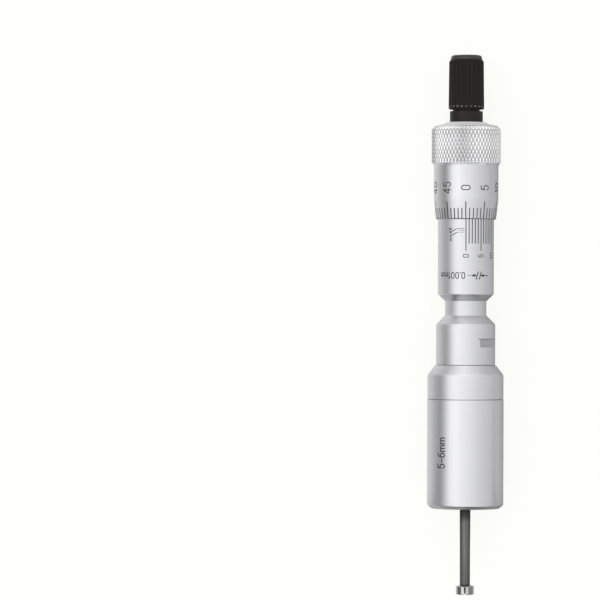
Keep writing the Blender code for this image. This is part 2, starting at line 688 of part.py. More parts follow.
def main_tube():
    """Shank, connector, neck and inner sleeve in one piece, slit at its nose for the adjusting nut."""
    shank_r, body_r, neck_r = SHANK_D / 2, CONNECTOR_D / 2, NECK_D / 2
    sleeve_r, nose_r = INNER_SLEEVE_D / 2, NOSE_D / 2
    guide_r, nut_r = GUIDE_BORE_D / 2, THREAD_D / 2 + RUNNING
    foot = Z_SHANK
    nut_z = Z_TUBE_TOP - NUT_BORE_L
    body_z, bevel_z = Z_CAP_TOP + SEAT, Z_NECK - (body_r - neck_r)
    lip_z = Z_SLEEVE + SLEEVE_LIP + 2 * SEAT
    edge = SEAM_EDGE
    points = [(nut_r, Z_TUBE_TOP), (nose_r, Z_TUBE_TOP), (nose_r, Z_NOSE), (sleeve_r, Z_NOSE)]
    points += [(sleeve_r, lip_z + sleeve_r - neck_r), (neck_r, lip_z), (neck_r, Z_NECK)]
    points += [(body_r, bevel_z), (body_r, body_z + edge), (body_r - edge, body_z), (shank_r, body_z)]
    points += [(shank_r, foot), (guide_r, foot), (guide_r, nut_z), (nut_r, nut_z), (nut_r, Z_TUBE_TOP)]
    obj = turned("main_tube", points, "satin_chrome", LARGE)
    for turn_deg, label in ((FLAT_TURN_DEG, "right"), (FLAT_TURN_DEG + 180.0, "left")):
        low = (body_r - FLAT_DEPTH, -body_r, Z_CAP_TOP + FLAT_UP)
        high = (2 * body_r, body_r, Z_CAP_TOP + FLAT_UP + FLAT_H)
        mesh = box_mesh("wrench_flat_" + label, low, high)
        turn = math.radians(turn_deg - 90.0)
        boolean(obj, add_cutter("wrench_flat_" + label, mesh, turn=turn))
    for cut in range(NOSE_CUTS):
        low = (guide_r / 2, -NOSE_CUT_W / 2, Z_TUBE_TOP - NOSE_CUT_L)
        high = (body_r, NOSE_CUT_W / 2, Z_TUBE_TOP + NOSE_CUT_L)
        name = "nose_cut_%d" % (cut + 1)
        turn = 2 * math.pi * (cut + 0.5) / NOSE_CUTS
        boolean(obj, add_cutter(name, box_mesh(name, low, high), turn=turn))
    key_hole = rod_mesh("key_hole", KEY_D / 2 + PRESSED, (guide_r / 2, 0, Z_KEY), (body_r, 0, Z_KEY), TINY)
    boolean(obj, add_cutter("key_hole", key_hole))


def key_pin():
    """A pin through the shank's wall that keeps the push rod from turning."""
    start = (GUIDE_BORE_D / 2 - KEY_REACH, 0.0, Z_KEY)
    mesh = rod_mesh("key_pin", KEY_D / 2, start, (SHANK_D / 2, 0.0, Z_KEY), TINY)
    add_piece("key_pin", mesh, "bright_steel")


def graduated_sleeve():
    """The outer sleeve that carries the scales, beveled down to the neck at its lower end."""
    r, lip_r = SLEEVE_D / 2, NECK_D / 2 + 2 * RUNNING
    bore_r = INNER_SLEEVE_D / 2 + RUNNING
    mouth_r = lip_r + RUNNING
    bevel_z = Z_SLEEVE + r - mouth_r
    lip_z = Z_SLEEVE + SLEEVE_LIP
    points = [(bore_r, Z_SLEEVE_TOP), (r, Z_SLEEVE_TOP), (r, bevel_z), (mouth_r, Z_SLEEVE)]
    points += [(lip_r, Z_SLEEVE), (lip_r, lip_z), (bore_r, lip_z + bore_r - lip_r), (bore_r, Z_SLEEVE_TOP)]
    obj = turned("graduated_sleeve", points, "satin_chrome", LARGE)
    z = Z_SLEEVE + SLEEVE_HOLE_UP
    mesh = rod_mesh("spanner_hole", SLEEVE_HOLE_D / 2, (0, lip_r, z), (0, SLEEVE_D, z), TINY)
    boolean(obj, add_cutter("spanner_hole", mesh))


def adjusting_nut():
    """The ring nut that closes the slit nose on the spindle's thread."""
    r, bore_r = NUT_D / 2, NOSE_D / 2 + RUNNING
    top = Z_NUT + NUT_L
    points = [(bore_r, top), (r - NUT_EDGE, top), (r, top - NUT_EDGE), (r, Z_NUT), (bore_r, Z_NUT)]
    points.append(points[0])
    obj = turned("adjusting_nut", points, "bright_steel", MEDIUM)
    low, high = (-NUT_D, -NUT_SLOT_W / 2, top - NUT_SLOT_H), (NUT_D, NUT_SLOT_W / 2, top + NUT_SLOT_H)
    boolean(obj, add_cutter("nut_slot", box_mesh("nut_slot", low, high)))


def spindle():
    """Journal, thread, neck and locking taper in one piece, with a cone seat for the thrust ball."""
    r, thread_r = SPINDLE_D / 2, THREAD_D / 2
    neck_r, tip_r = SPINDLE_NECK_D / 2, SPINDLE_TIP_D / 2
    tap_r, seat_r = TAP_D / 2, BALL_D / 2
    thread_foot = Z_THREAD_TOP - THREAD_L
    taper_z = Z_THIMBLE_TOP - THIMBLE_END_T
    end_z = Z_THIMBLE_TOP + SPINDLE_STICKOUT
    tap_z = end_z - TAP_L
    edge = (thread_r - r)
    points = [(tap_r, end_z), (tip_r, end_z), (tip_r, Z_THIMBLE_TOP), (neck_r, taper_z)]
    points += [(neck_r, Z_THREAD_TOP), (thread_r, Z_THREAD_TOP), (thread_r, thread_foot + edge)]
    points += [(r, thread_foot), (r, Z_SPINDLE), (seat_r, Z_SPINDLE), (0.0, Z_SPINDLE + seat_r)]
    turned("spindle", points + [(0.0, tap_z - tap_r / 2), (tap_r, tap_z), (tap_r, end_z)],
           "bright_steel", MEDIUM)


def thrust_ball():
    """The hard ball between the turning spindle and the push rod."""
    bm = bmesh.new()
    bmesh.ops.create_uvsphere(bm, u_segments=SMALL, v_segments=TINY - 2, radius=BALL_D / 2)
    add_piece("thrust_ball", mesh_from(bm, "thrust_ball"), "polished_steel", Z_BALL)


def push_rod():
    """Guided head, keyed against turning, and a thin shaft that grips the needle."""
    head_r, r = GUIDE_BORE_D / 2 - RUNNING, ROD_D / 2
    grip_r = NEEDLE_D / 2 + PRESSED
    blind_z = Z_ROD_END + NEEDLE_GRIP + SEAT
    points = [(0.0, Z_ROD_TOP), (head_r - ROD_EDGE, Z_ROD_TOP), (head_r, Z_ROD_TOP - ROD_EDGE)]
    points += [(head_r, Z_ROD_SHOULDER), (r, Z_ROD_SHOULDER), (r, Z_ROD_END), (grip_r, Z_ROD_END)]
    points += [(grip_r, blind_z), (0.0, blind_z)]
    obj = turned("push_rod", points, "bright_steel", LARGE)
    half_w = KEY_D / 2 + RUNNING
    low = (head_r - KEYWAY_DEPTH, -half_w, Z_KEY - half_w)
    high = (2 * head_r, half_w, Z_KEY + half_w + PUSH_TRAVEL)
    boolean(obj, add_cutter("keyway", box_mesh("keyway", low, high)))


def lattice_ring(bm, count, radius, z, offset=0.0):
    """A ring of points; the radius may be one number or a rule of the point's index."""
    ring = []
    for i in range(count):
        angle = 2 * math.pi * (i + offset) / count
        r = radius(i) if callable(radius) else radius
        ring.append(bm.verts.new((r * math.cos(angle), r * math.sin(angle), z)))
    return ring


def bridge(bm, below, above):
    """Faces between two rings, of equal counts or one twice the other."""
    count, upper = len(below), len(above)
    if count == upper:
        for i in range(count):
            j = (i + 1) % count
            bm.faces.new([below[i], below[j], above[j], above[i]])
        return
    few, many = (below, above) if count < upper else (above, below)
    for i in range(len(few)):
        j = (i + 1) % len(few)
        first, middle, last = many[2 * i], many[2 * i + 1], many[(2 * i + 2) % len(many)]
        bm.faces.new([few[i], first, middle])
        bm.faces.new([few[i], middle, few[j]])
        bm.faces.new([few[j], middle, last])


def bridge_knurl(bm, below, above, row):
    """Two rows of the knurl: each square is split along its valley, so that four faces make a point."""
    count = len(below)
    for i in range(count):
        j = (i + 1) % count
        if (i + row) % 2 == 0:
            bm.faces.new([below[i], below[j], above[j]])
            bm.faces.new([below[i], above[j], above[i]])
        else:
            bm.faces.new([below[i], below[j], above[i]])
            bm.faces.new([below[j], above[j], above[i]])


def thimble():
    """The thimble: graduated cone and cylinder, diamond-knurled grip, crowned end and locking taper.

    The knurl is a lattice of points, KNURL_COUNT diamonds round and half a diamond a row, whose
    radius falls by KNURL_DEPTH wherever two of its grooves cross.
    """
    bm = bmesh.new()
    bore_r = SLEEVE_D / 2 + THIMBLE_PLAY
    body_r, lip_r, crest_r = THIMBLE_D / 2, THIMBLE_LIP_D / 2, KNURL_D / 2
    knurl_z = Z_THIMBLE_TOP - CROWN_RISE - KNURL_CORNER - KNURL_ROWS * KNURL_ROW_H
    cavity_z = Z_THIMBLE_TOP - THIMBLE_END_T
    count, fine = KNURL_COUNT, 2 * KNURL_COUNT
    edge = SEAM_EDGE

    def ring(radius, z, number=count):
        return lattice_ring(bm, number, radius / math.cos(math.pi / number), z - Z_THIMBLE)

    def knurl_row(row):
        def radius(i):
            return crest_r - (KNURL_DEPTH if (i + row) % 2 == 0 else 0.0)

        return lattice_ring(bm, fine, radius, knurl_z + row * KNURL_ROW_H - Z_THIMBLE)

    rows = [knurl_row(row) for row in range(KNURL_ROWS + 1)]
    top_z = knurl_z + KNURL_ROWS * KNURL_ROW_H
    lower = [ring(lip_r, Z_THIMBLE), ring(body_r, Z_THIMBLE + THIMBLE_CONE_L)]
    lower.append(ring(body_r, knurl_z - KNURL_RUNOUT))
    upper = [ring(crest_r - KNURL_CORNER / 2, top_z + KNURL_CORNER * 0.6)]
    upper += [ring(SHOULDER_D / 2, top_z + KNURL_CORNER)]
    upper += [ring(CROWN_MID_D / 2, top_z + KNURL_CORNER + CROWN_RISE * 0.4)]
    upper += [ring(CROWN_D / 2, Z_THIMBLE_TOP - edge / 2), ring(CROWN_D / 2 - edge, Z_THIMBLE_TOP)]
    upper += [ring(SPINDLE_TIP_D / 2 + SEAT, Z_THIMBLE_TOP)]
    upper += [ring(SPINDLE_NECK_D / 2 + SEAT, cavity_z), ring(bore_r, cavity_z), ring(bore_r, Z_THIMBLE)]
    chain = lower + rows + upper
    first_row = len(lower)
    for index, below in enumerate(chain):
        above = chain[(index + 1) % len(chain)]
        if first_row <= index < first_row + KNURL_ROWS:
            bridge_knurl(bm, below, above, index - first_row)
        else:
            bridge(bm, below, above)
    add_piece("thimble", mesh_from(bm, "thimble"), "satin_chrome", Z_THIMBLE)


def ratchet_base():
    """The collar clamped on the thimble's end, with face teeth on top of its neck."""
    r, neck_r = COLLAR_D / 2, RATCHET_NECK_D / 2
    bore_r, thread_r = SHANK_SCREW_D / 2 + RUNNING, TAP_D / 2 + RUNNING
    socket_r = SPINDLE_TIP_D / 2 + SEAT
    foot = Z_THIMBLE_TOP + SEAT
    socket_z = foot + COLLAR_SOCKET_L
    ledge_z = socket_z + (COLLAR_L - COLLAR_SOCKET_L) / 2
    edge = SEAM_EDGE
    points = [(bore_r, Z_TEETH), (neck_r, Z_TEETH), (neck_r, Z_COLLAR), (r - edge, Z_COLLAR)]
    points += [(r, Z_COLLAR - edge), (r, foot + edge), (r - edge, foot), (socket_r, foot)]
    points += [(socket_r, socket_z), (thread_r, socket_z), (thread_r, ledge_z), (bore_r, ledge_z)]
    points.append((bore_r, Z_TEETH))
    obj = turned("ratchet_base", points, "black_plastic", MEDIUM)
    inner_r = bore_r + 2 * TOOTH_PLAY
    sunk = TOOTH_PLAY / 2
    ring = tooth_ring("base_teeth", inner_r, TOOTH_D / 2, Z_TEETH - TOOTH_H, Z_TEETH - sunk, TOOTH_H, 1, 0.0)
    boolean(obj, add_cutter("base_teeth", ring), "UNION")


def ratchet_clutch():
    """The hexagonal clutch that turns with the knob and clicks over the base's teeth."""
    corner_r = CLUTCH_CORNER_D / 2
    foot = Z_CLUTCH
    top = foot + CLUTCH_L
    bm = bmesh.new()
    bmesh.ops.create_cone(
        bm, cap_ends=True, segments=6, radius1=corner_r, radius2=corner_r, depth=top - foot
    )
    bmesh.ops.translate(bm, vec=(0, 0, (top - foot) / 2), verts=bm.verts)
    obj = add_piece("ratchet_clutch", mesh_from(bm, "ratchet_clutch"), "bright_steel", foot)
    root_z = Z_TEETH + TOOTH_H + TOOTH_PLAY
    inner_r = SHANK_SCREW_D / 2 + 3 * TOOTH_PLAY
    ring = tooth_ring("clutch_teeth", inner_r, TOOTH_D / 2, foot + TOOTH_H, root_z, TOOTH_H, -1, 1.0)
    boolean(obj, add_cutter("clutch_teeth", ring), "UNION")
    bore_r = SHANK_SCREW_D / 2 + 4 * TOOTH_PLAY
    mesh = rod_mesh("clutch_bore", bore_r, (0, 0, Z_TEETH - CLUTCH_L), (0, 0, top + CLUTCH_L), MEDIUM)
    boolean(obj, add_cutter("clutch_bore", mesh))


def ratchet_screw():
    """The shouldered screw that clamps the base to the spindle and keeps the knob on."""
    r, thread_r, head_r = SHANK_SCREW_D / 2, TAP_D / 2 - PRESSED, CAP_SCREW_HEAD_D / 2
    foot = Z_THIMBLE_TOP + SEAT
    socket_z = foot + COLLAR_SOCKET_L
    ledge_z = socket_z + (COLLAR_L - COLLAR_SOCKET_L) / 2 + SEAT
    tip = Z_THIMBLE_TOP + SPINDLE_STICKOUT - TAP_L + 2 * TOOTH_PLAY
    seat_z = Z_SCREW_SEAT + TOOTH_PLAY
    top = seat_z + CAP_SCREW_HEAD_H
    edge = SEAM_EDGE
    points = [(0.0, top), (head_r - edge, top), (head_r, top - edge), (head_r, seat_z), (r, seat_z)]
    points += [(r, ledge_z), (thread_r, ledge_z), (thread_r, tip + edge), (thread_r - edge, tip), (0.0, tip)]
    obj = turned("ratchet_screw", points, "dark_steel", MEDIUM)
    half_w = CAP_SCREW_SLOT_W / 2
    low = (-CAP_SCREW_HEAD_D, -half_w, top - CAP_SCREW_HEAD_H / 2)
    high = (CAP_SCREW_HEAD_D, half_w, top + CAP_SCREW_HEAD_H)
    boolean(obj, add_cutter("ratchet_screw_slot", box_mesh("ratchet_screw_slot", low, high)))


def ratchet_knob():
    """The fluted knob: V-shaped flutes that run out at both ends, over a plain foot and under a boss."""
    foot_r, low_r, high_r, boss_r = KNOB_FOOT_D / 2, KNOB_D / 2, KNOB_TOP_D / 2, KNOB_BOSS_D / 2
    edge = SEAM_EDGE
    bm = bmesh.new()
    columns = 4 * RIB_COUNT

    def rib_ring(crest_r, z):
        def radius(i):
            return crest_r - (RIB_DEPTH if i % 4 == 0 else 0.0)

        return lattice_ring(bm, columns, radius, z)

    boss_z = KNOB_L - KNOB_BOSS_H
    rings = [lattice_ring(bm, columns, foot_r, 0.0), lattice_ring(bm, columns, low_r, KNOB_FOOT_H)]
    rings += [rib_ring(low_r, KNOB_FOOT_H + RIB_RUNOUT), rib_ring(high_r, boss_z - KNOB_BOSS_H / 2)]
    rings += [lattice_ring(bm, columns, boss_r + edge, boss_z)]
    dome = arc(boss_r - KNOB_BOSS_H / 2, KNOB_L - KNOB_BOSS_H / 2, KNOB_BOSS_H / 2, 0, 90, 3)
    rings += [lattice_ring(bm, columns, r, z) for r, z in dome]
    for below, above in zip(rings, rings[1:]):
        bridge(bm, below, above)
    bm.faces.new(rings[0])
    bm.faces.new(rings[-1])
    obj = add_piece("ratchet_knob", mesh_from(bm, "ratchet_knob"), "black_plastic", Z_KNOB)
    skirt_r, bore_r = RATCHET_NECK_D / 2 + 2 * RUNNING, SHANK_SCREW_D / 2 + 2 * RUNNING
    recess_r = KNOB_RECESS_D / 2
    hex_z = Z_TEETH + TOOTH_PLAY
    recess_z = Z_SCREW_SEAT
    hollow = [(0.0, Z_TOP + KNOB_L), (recess_r, Z_TOP + KNOB_L), (recess_r, recess_z), (bore_r, recess_z)]
    hollow += [(bore_r, hex_z + TOOTH_H), (skirt_r, hex_z), (skirt_r, Z_KNOB - GROOVE_L)]
    hollow.append((0.0, Z_KNOB - GROOVE_L))
    boolean(obj, turned_cutter("knob_hollow", hollow, MEDIUM))
    chamber_top = Z_CHAMBER_TOP
    corner_r = CLUTCH_CORNER_D / 2 + 2 * RUNNING
    bm = bmesh.new()
    bmesh.ops.create_cone(
        bm, cap_ends=True, segments=6, radius1=corner_r, radius2=corner_r, depth=chamber_top - hex_z
    )
    bmesh.ops.translate(bm, vec=(0, 0, (chamber_top + hex_z) / 2), verts=bm.verts)
    boolean(obj, add_cutter("clutch_chamber", mesh_from(bm, "clutch_chamber")))


def springs():
    """The push rod's return spring and the ratchet clutch's spring."""
    low = Z_HUB_TOP + SEAT
    coil("return_spring", "spring_steel", SPRING_D, SPRING_WIRE, low, Z_ROD_SHOULDER - SEAT, SPRING_TURNS)
    clutch_top = Z_CLUTCH + CLUTCH_L
    coil(
        "ratchet_spring",
        "spring_steel",
        CLUTCH_SPRING_D,
        CLUTCH_SPRING_WIRE,
        clutch_top + SEAT,
        Z_CHAMBER_TOP - SEAT,
        CLUTCH_SPRING_TURNS,
    )


barrel()
barrel_cap()
stem()
guide_pins()
contacts()
contact_spring()
needle()
stem_holder()
holder_screws()
guide_bush()
main_tube()
key_pin()
graduated_sleeve()
adjusting_nut()
spindle()
thrust_ball()
push_rod()
thimble()
ratchet_base()
ratchet_clutch()
ratchet_screw()
ratchet_knob()
springs()
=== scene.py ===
"""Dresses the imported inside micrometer: fine turned surfaces, the knurl, the scales and the finishes.

The frame is in metres. The instrument's axis runs along +Y at the height AXIS_Z, and its scales look up.
A station is the distance along the axis from the tip of the measuring head. An angle round the axis starts
at the front (+Z) and grows towards the right (+X). Radii and stations are in millimetres, and a profile is
a list of (radius, station, rounding).
"""

import math

import bmesh
import bpy
import numpy as np
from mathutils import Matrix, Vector


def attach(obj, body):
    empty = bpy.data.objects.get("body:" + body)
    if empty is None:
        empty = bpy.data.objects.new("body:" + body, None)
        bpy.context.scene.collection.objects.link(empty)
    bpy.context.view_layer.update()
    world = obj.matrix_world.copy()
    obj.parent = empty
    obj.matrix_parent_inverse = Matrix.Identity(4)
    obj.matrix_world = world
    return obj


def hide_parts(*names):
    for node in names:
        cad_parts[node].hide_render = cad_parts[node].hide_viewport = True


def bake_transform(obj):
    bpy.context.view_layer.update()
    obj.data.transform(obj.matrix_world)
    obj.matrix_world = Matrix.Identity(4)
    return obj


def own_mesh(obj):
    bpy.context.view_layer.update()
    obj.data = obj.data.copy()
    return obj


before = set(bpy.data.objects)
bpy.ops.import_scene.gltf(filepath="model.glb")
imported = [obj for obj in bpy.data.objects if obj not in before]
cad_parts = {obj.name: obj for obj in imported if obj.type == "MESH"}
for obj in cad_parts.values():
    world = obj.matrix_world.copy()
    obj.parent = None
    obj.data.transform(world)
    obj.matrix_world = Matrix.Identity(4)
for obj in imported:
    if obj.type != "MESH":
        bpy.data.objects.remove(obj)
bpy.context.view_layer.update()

MM = 0.001
LENGTH = 0.1505
AXIS_Z = 0.01065
FULL_TURN = 2 * math.pi

# Radii that several pieces share, and the columns round a plain turned piece
BARREL_R = 10.65
CONNECTOR_R = 8.25
SLEEVE_R = 7.8
THIMBLE_R = 9.0
THIMBLE_BORE_R = 7.95
PLAIN_COLUMNS = 256

# Scales: the cone that carries the thimble's lines, the rest angle, one vernier step and the black fill
CONE_STATIONS = [104.62, 110.2]
CONE_RADII = [8.33, THIMBLE_R]
THIMBLE_DIVISIONS = 50
THIMBLE_REST = math.radians(-0.5)
VERNIER_DIVISIONS = 10
VERNIER_STEP = math.radians(6.48)
FILL_PROUD = 0.010
FILL_SUNK = 0.040

# Knurl: diamonds round the grip, height of one diamond, depth, and the share of each diamond left flat
KNURL_COUNT = 58
KNURL_PITCH = 2.18
KNURL_DEPTH = 0.32
KNURL_FLAT = 0.10
KNURL_TOP_R = 9.7
KNURL_START = 119.7
KNURL_CROSSING = 120.0
KNURL_SHOULDER = 129.0
KNURL_END = 130.85
KNURL_FADE = 0.6
# Share of the knurl's depth below which its grooves carry painted shade
GROOVE_SHADE_SHARE = 0.79
CROWN_START = 130.62

# Flutes of the knob, the crests between them from foot to top, and the six-sided chamber inside
FLUTE_COUNT = 24
FLUTE_DEPTH = 0.24
FLUTE_CUTTER_R = 0.45
FLUTE_START = 135.85
FLUTE_RUNOUT = 1.0
CREST_STATIONS = [136.3, 148.6]
CREST_RADII = [5.0, 4.85]
CHAMBER_R = 4.0
CHAMBER_APOTHEM = 3.464

# Wrench flats of the connector, with the deeper line along their upper end
FLAT_FROM_AXIS = 7.32
FLAT_LOW, FLAT_HIGH = 69.1, 71.5
FLAT_ANGLE = math.radians(57.0)
FLAT_FILLET = 0.12
FLAT_LINE_DEPTH = 0.3
FLAT_LINE_BELOW = 0.24
FLAT_LINE_HALF = 0.11

# Relief flats beside the contact points of the head: distance from the axis and angle of their normals
HEAD_RELIEF = 2.41
HEAD_RELIEF_ANGLE = 39.5

# Prongs of the stem: half their width and depth, their middle's distance from the axis, and their ends
PRONG_HALF_WIDTH = 0.2
PRONG_HALF_DEPTH = 0.35
PRONG_OUT = 1.0625
PRONG_LOW, PRONG_HIGH = 0.3, 3.6

# Finishes: height of their bumps in metres, and the scale of drawn marks along the axis over that across it
BUMP_HEIGHT = 0.00002
DRAWN_ALONG = 0.02
CHROME_DARK = (0.735, 0.735, 0.755)
CHROME_LIGHT = (0.80, 0.80, 0.815)

# Camera and light: the photograph's frame, where the axis and the tip stand in it, and the lamp's place
IMAGE_SIZE = 600.0
SENSOR_WIDTH = 36.0
CAMERA_DISTANCE = 1.15
PIXELS_PER_METRE = 3580.0
AXIS_PIXEL_X = 465.75
TIP_PIXEL_Y = 594.8
CAMERA_ROLL = math.radians(0.19)
FLOOR_REACH = 2.0
FLOOR_GLOW = 0.875
LAMP_LEFT, LAMP_AHEAD, LAMP_UP = 0.42, 0.15, 0.55


# Surfaces


def round_axis(radius, angle, station):
    """Points from millimetre radii and stations.

    x = radius sin angle, y = station less half the length, z = the axis's height + radius cos angle.
    """
    radius, angle, station = np.broadcast_arrays(radius, angle, station)
    return np.stack(
        [
            radius * MM * np.sin(angle),
            station * MM - LENGTH / 2,
            AXIS_Z + radius * MM * np.cos(angle),
        ],
        axis=-1,
    )


def grid_faces(rows, columns, rows_closed, columns_closed, start=0):
    """Quads joining each point of a rows x columns grid to its next row and column, as whole index arrays."""
    row = np.arange(rows if rows_closed else rows - 1)[:, None]
    column = np.arange(columns if columns_closed else columns - 1)[None, :]
    next_row, next_column = (row + 1) % rows, (column + 1) % columns
    corners = [
        row * columns + column,
        row * columns + next_column,
        next_row * columns + next_column,
        next_row * columns + column,
    ]
    return np.stack(np.broadcast_arrays(*corners), axis=-1).reshape(-1, 4) + start


def rounded(corners, steps=5):
    """A closed profile whose corners are cut back by their rounding and bridged by a parabola.

    Between its two tangent points a corner P runs as P + cut ((1-w)^2 u + w^2 v), where u and v are the
    unit ways to its neighbours and w goes from 0 to 1.
    """
    corners = np.array(corners, float)
    point, cut = corners[:, None, :2], corners[:, None, 2:]
    back = np.roll(point, 1, axis=0) - point
    on = np.roll(point, -1, axis=0) - point
    back /= np.linalg.norm(back, axis=-1, keepdims=True)
    on /= np.linalg.norm(on, axis=-1, keepdims=True)
    w = np.linspace(0.0, 1.0, steps + 1)[None, :, None]
    path = (point + cut * ((1 - w) ** 2 * back + w**2 * on)).reshape(-1, 2)
    return path[np.linalg.norm(path - np.roll(path, 1, axis=0), axis=1) > 1e-6]


def with_rows(path, low, high, step):
    """The profile with extra rows, at most step apart, on each side that lies between two stations."""
    after = np.roll(path, -1, axis=0)
    runs = []
    for here, there in zip(path, after):
        runs.append(here[None])
        inside = low <= min(here[1], there[1]) + 1e-6 and max(here[1], there[1]) <= high + 1e-6
        count = int(np.ceil(abs(there[1] - here[1]) / step)) if inside else 1
        share = np.arange(1, count)[:, None] / count
        runs.append(here + share * (there - here))
    return np.concatenate(runs)


def carried_round(path, columns, cut=None):
    """(points, faces) of a closed profile carried round the axis.

    cut, where it is given, lowers the radius by angle and station.
    """
    angle = (np.arange(columns) * FULL_TURN / columns)[None, :]
    radius, station = path[:, :1] + 0 * angle, path[:, 1:] + 0 * angle
    if cut:
        radius = cut(radius, angle, station)
    return round_axis(radius, angle, station).reshape(-1, 3), grid_faces(len(path), columns, True, True)


def tube_along(centres, out, along, radius, sides):
    """(points, faces) of a round wire, closed by a cap at each end.

    At each centre stands a circle, radius (cos t out + sin t along).
    """
    t = (np.arange(sides) * FULL_TURN / sides)[None, :, None]
    points = centres[:, None] + radius * (np.cos(t) * out[:, None] + np.sin(t) * along[:, None])
    faces = [list(face) for face in grid_faces(len(centres), sides, False, True)]
    faces.append(list(range(sides))[::-1])
    faces.append(list(range((len(centres) - 1) * sides, len(centres) * sides)))
    return points.reshape(-1, 3), faces


def in_scene(name, data):
    """An object of this name and data, linked to the scene."""
    obj = bpy.data.objects.new(name, data)
    bpy.context.scene.collection.objects.link(obj)
    return obj


def piece(name, points, faces, body, material, replaces=(), sharp_deg=32.0):
    """A finished piece: doubles merged, faces turned outwards, smooth but for its sharp edges.

    It rides on its body, where one is given; otherwise it has none of its own.
    """
    mesh = bpy.data.meshes.new(name)
    mesh.from_pydata(points, [], faces)
    bm = bmesh.new()
    bm.from_mesh(mesh)
    bmesh.ops.remove_doubles(bm, verts=bm.verts, dist=2e-7)
    bmesh.ops.recalc_face_normals(bm, faces=bm.faces)
    bm.to_mesh(mesh)
    bm.free()
    mesh.shade_smooth()
    mesh.set_sharp_from_angle(angle=math.radians(sharp_deg))
    mesh.materials.append(material)
    obj = in_scene(name, mesh)
    if body:
        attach(obj, body)
    if replaces:
        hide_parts(*replaces)
    return obj


def repaint(obj, material, inner=0.0, outer=np.inf, low=-np.inf, high=np.inf):
    """Gives another finish to the faces whose middles lie between two radii and between two stations."""
    mesh = obj.data
    mesh.materials.append(material)
    middle = np.empty(len(mesh.polygons) * 3)
    mesh.polygons.foreach_get("center", middle)
    x, y, z = middle.reshape(-1, 3).T / MM
    radius, station = np.hypot(x, z - AXIS_Z / MM), y + LENGTH / 2 / MM
    index = np.empty(len(mesh.polygons), np.int32)
    mesh.polygons.foreach_get("material_index", index)
    index[(radius > inner) & (radius < outer) & (station > low) & (station < high)] = len(mesh.materials) - 1
    mesh.polygons.foreach_set("material_index", index)


def relieved(bm, angle):
    """Cuts a flat on the head, HEAD_RELIEF from the axis, and closes it by a face of the second finish, a
    painted shade.
    """
    way = Vector((math.sin(angle), 0.0, math.cos(angle)))
    place = Vector((0.0, 0.0, AXIS_Z)) + way * HEAD_RELIEF * MM
    everything = [*bm.verts, *bm.edges, *bm.faces]
    cut = bmesh.ops.bisect_plane(
        bm, geom=everything, dist=1e-8, plane_co=place, plane_no=way, clear_outer=True
    )
    rim = [edge for edge in cut["geom_cut"] if isinstance(edge, bmesh.types.BMEdge)]
    for face in bmesh.ops.contextual_create(bm, geom=rim)["faces"]:
        face.material_index = 1


def merged_copy(node, name, body, material, bevel, reliefs=()):
    """A CAD node's own shape: loose faces joined, reliefs cut, and edges broken by a small bevel."""
    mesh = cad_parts[node].data.copy()
    mesh.name = name
    mesh.materials.clear()
    mesh.materials.append(material)
    if reliefs:
        mesh.materials.append(RELIEF_SHADE_STEEL)
    bm = bmesh.new()
    bm.from_mesh(mesh)
    bmesh.ops.remove_doubles(bm, verts=bm.verts, dist=1e-7)
    bmesh.ops.dissolve_limit(bm, angle_limit=math.radians(0.5), verts=bm.verts, edges=bm.edges)
    for angle in reliefs:
        relieved(bm, math.radians(angle))
    bm.to_mesh(mesh)
    bm.free()
    mesh.shade_smooth()
    mesh.set_sharp_from_angle(angle=math.radians(14 if reliefs else 30))
    obj = in_scene(name, mesh)
    edge = obj.modifiers.new("broken_edges", "BEVEL")
    edge.width = bevel * MM
    edge.segments = 2
    edge.limit_method = "ANGLE"
    edge.angle_limit = math.radians(35)
    edge.use_clamp_overlap = True
    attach(obj, body)
    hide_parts(node)
    return obj


# Finishes


def plug(tree, socket, value):
    """Links an output to the socket, or sets a number or colour on it."""
    if isinstance(value, bpy.types.NodeSocket):
        tree.links.new(value, socket)
    else:
        socket.default_value = value


def math_node(tree, operation, *values):
    """The output of a Math node whose values may be sockets or numbers."""
    node = tree.nodes.new("ShaderNodeMath")
    node.operation = operation
    for socket, value in zip(node.inputs, values):
        plug(tree, socket, value)
    return node.outputs[0]


def mixed(tree, way, factor, first, second):
    """The output of a Mix node for two colours, which blends or multiplies them by its factor."""
    node = tree.nodes.new("ShaderNodeMix")
    node.data_type = "RGBA"
    node.blend_type = way
    plug(tree, node.inputs["Factor"], factor)
    plug(tree, node.inputs["A"], first)
    plug(tree, node.inputs["B"], second)
    return node.outputs["Result"]


def coordinates(tree, kind):
    """The X, Y and Z outputs of one kind of texture coordinates."""
    place = tree.nodes.new("ShaderNodeTexCoord")
    split = tree.nodes.new("ShaderNodeSeparateXYZ")
    tree.links.new(place.outputs[kind], split.inputs[0])
    return split.outputs


def graded(tree, value, stops):
    """A ColorRamp through grey stops of (place from 0 to 1, level); levels may go over one."""
    ramp = tree.nodes.new("ShaderNodeValToRGB")
    elements = ramp.color_ramp.elements
    while len(elements) < len(stops):
        elements.new(1.0)
    for element, (place, level) in zip(elements, stops):
        element.position = place
        element.color = (level, level, level, 1.0)
    tree.links.new(value, ramp.inputs[0])
    return ramp.outputs[0]


def surface_group(name, inputs):
    """An empty shader group with named float inputs, which puts out a roughness, a shade and a normal."""
    group = bpy.data.node_groups.new(name, "ShaderNodeTree")
    for label, value in inputs.items():
        socket = group.interface.new_socket(label, in_out="INPUT", socket_type="NodeSocketFloat")
        socket.default_value = value
    for label, kind in (("Roughness", "Float"), ("Shade", "Float"), ("Normal", "Vector")):
        group.interface.new_socket(label, in_out="OUTPUT", socket_type="NodeSocket" + kind)
    return group, group.nodes.new("NodeGroupInput"), group.nodes.new("NodeGroupOutput")


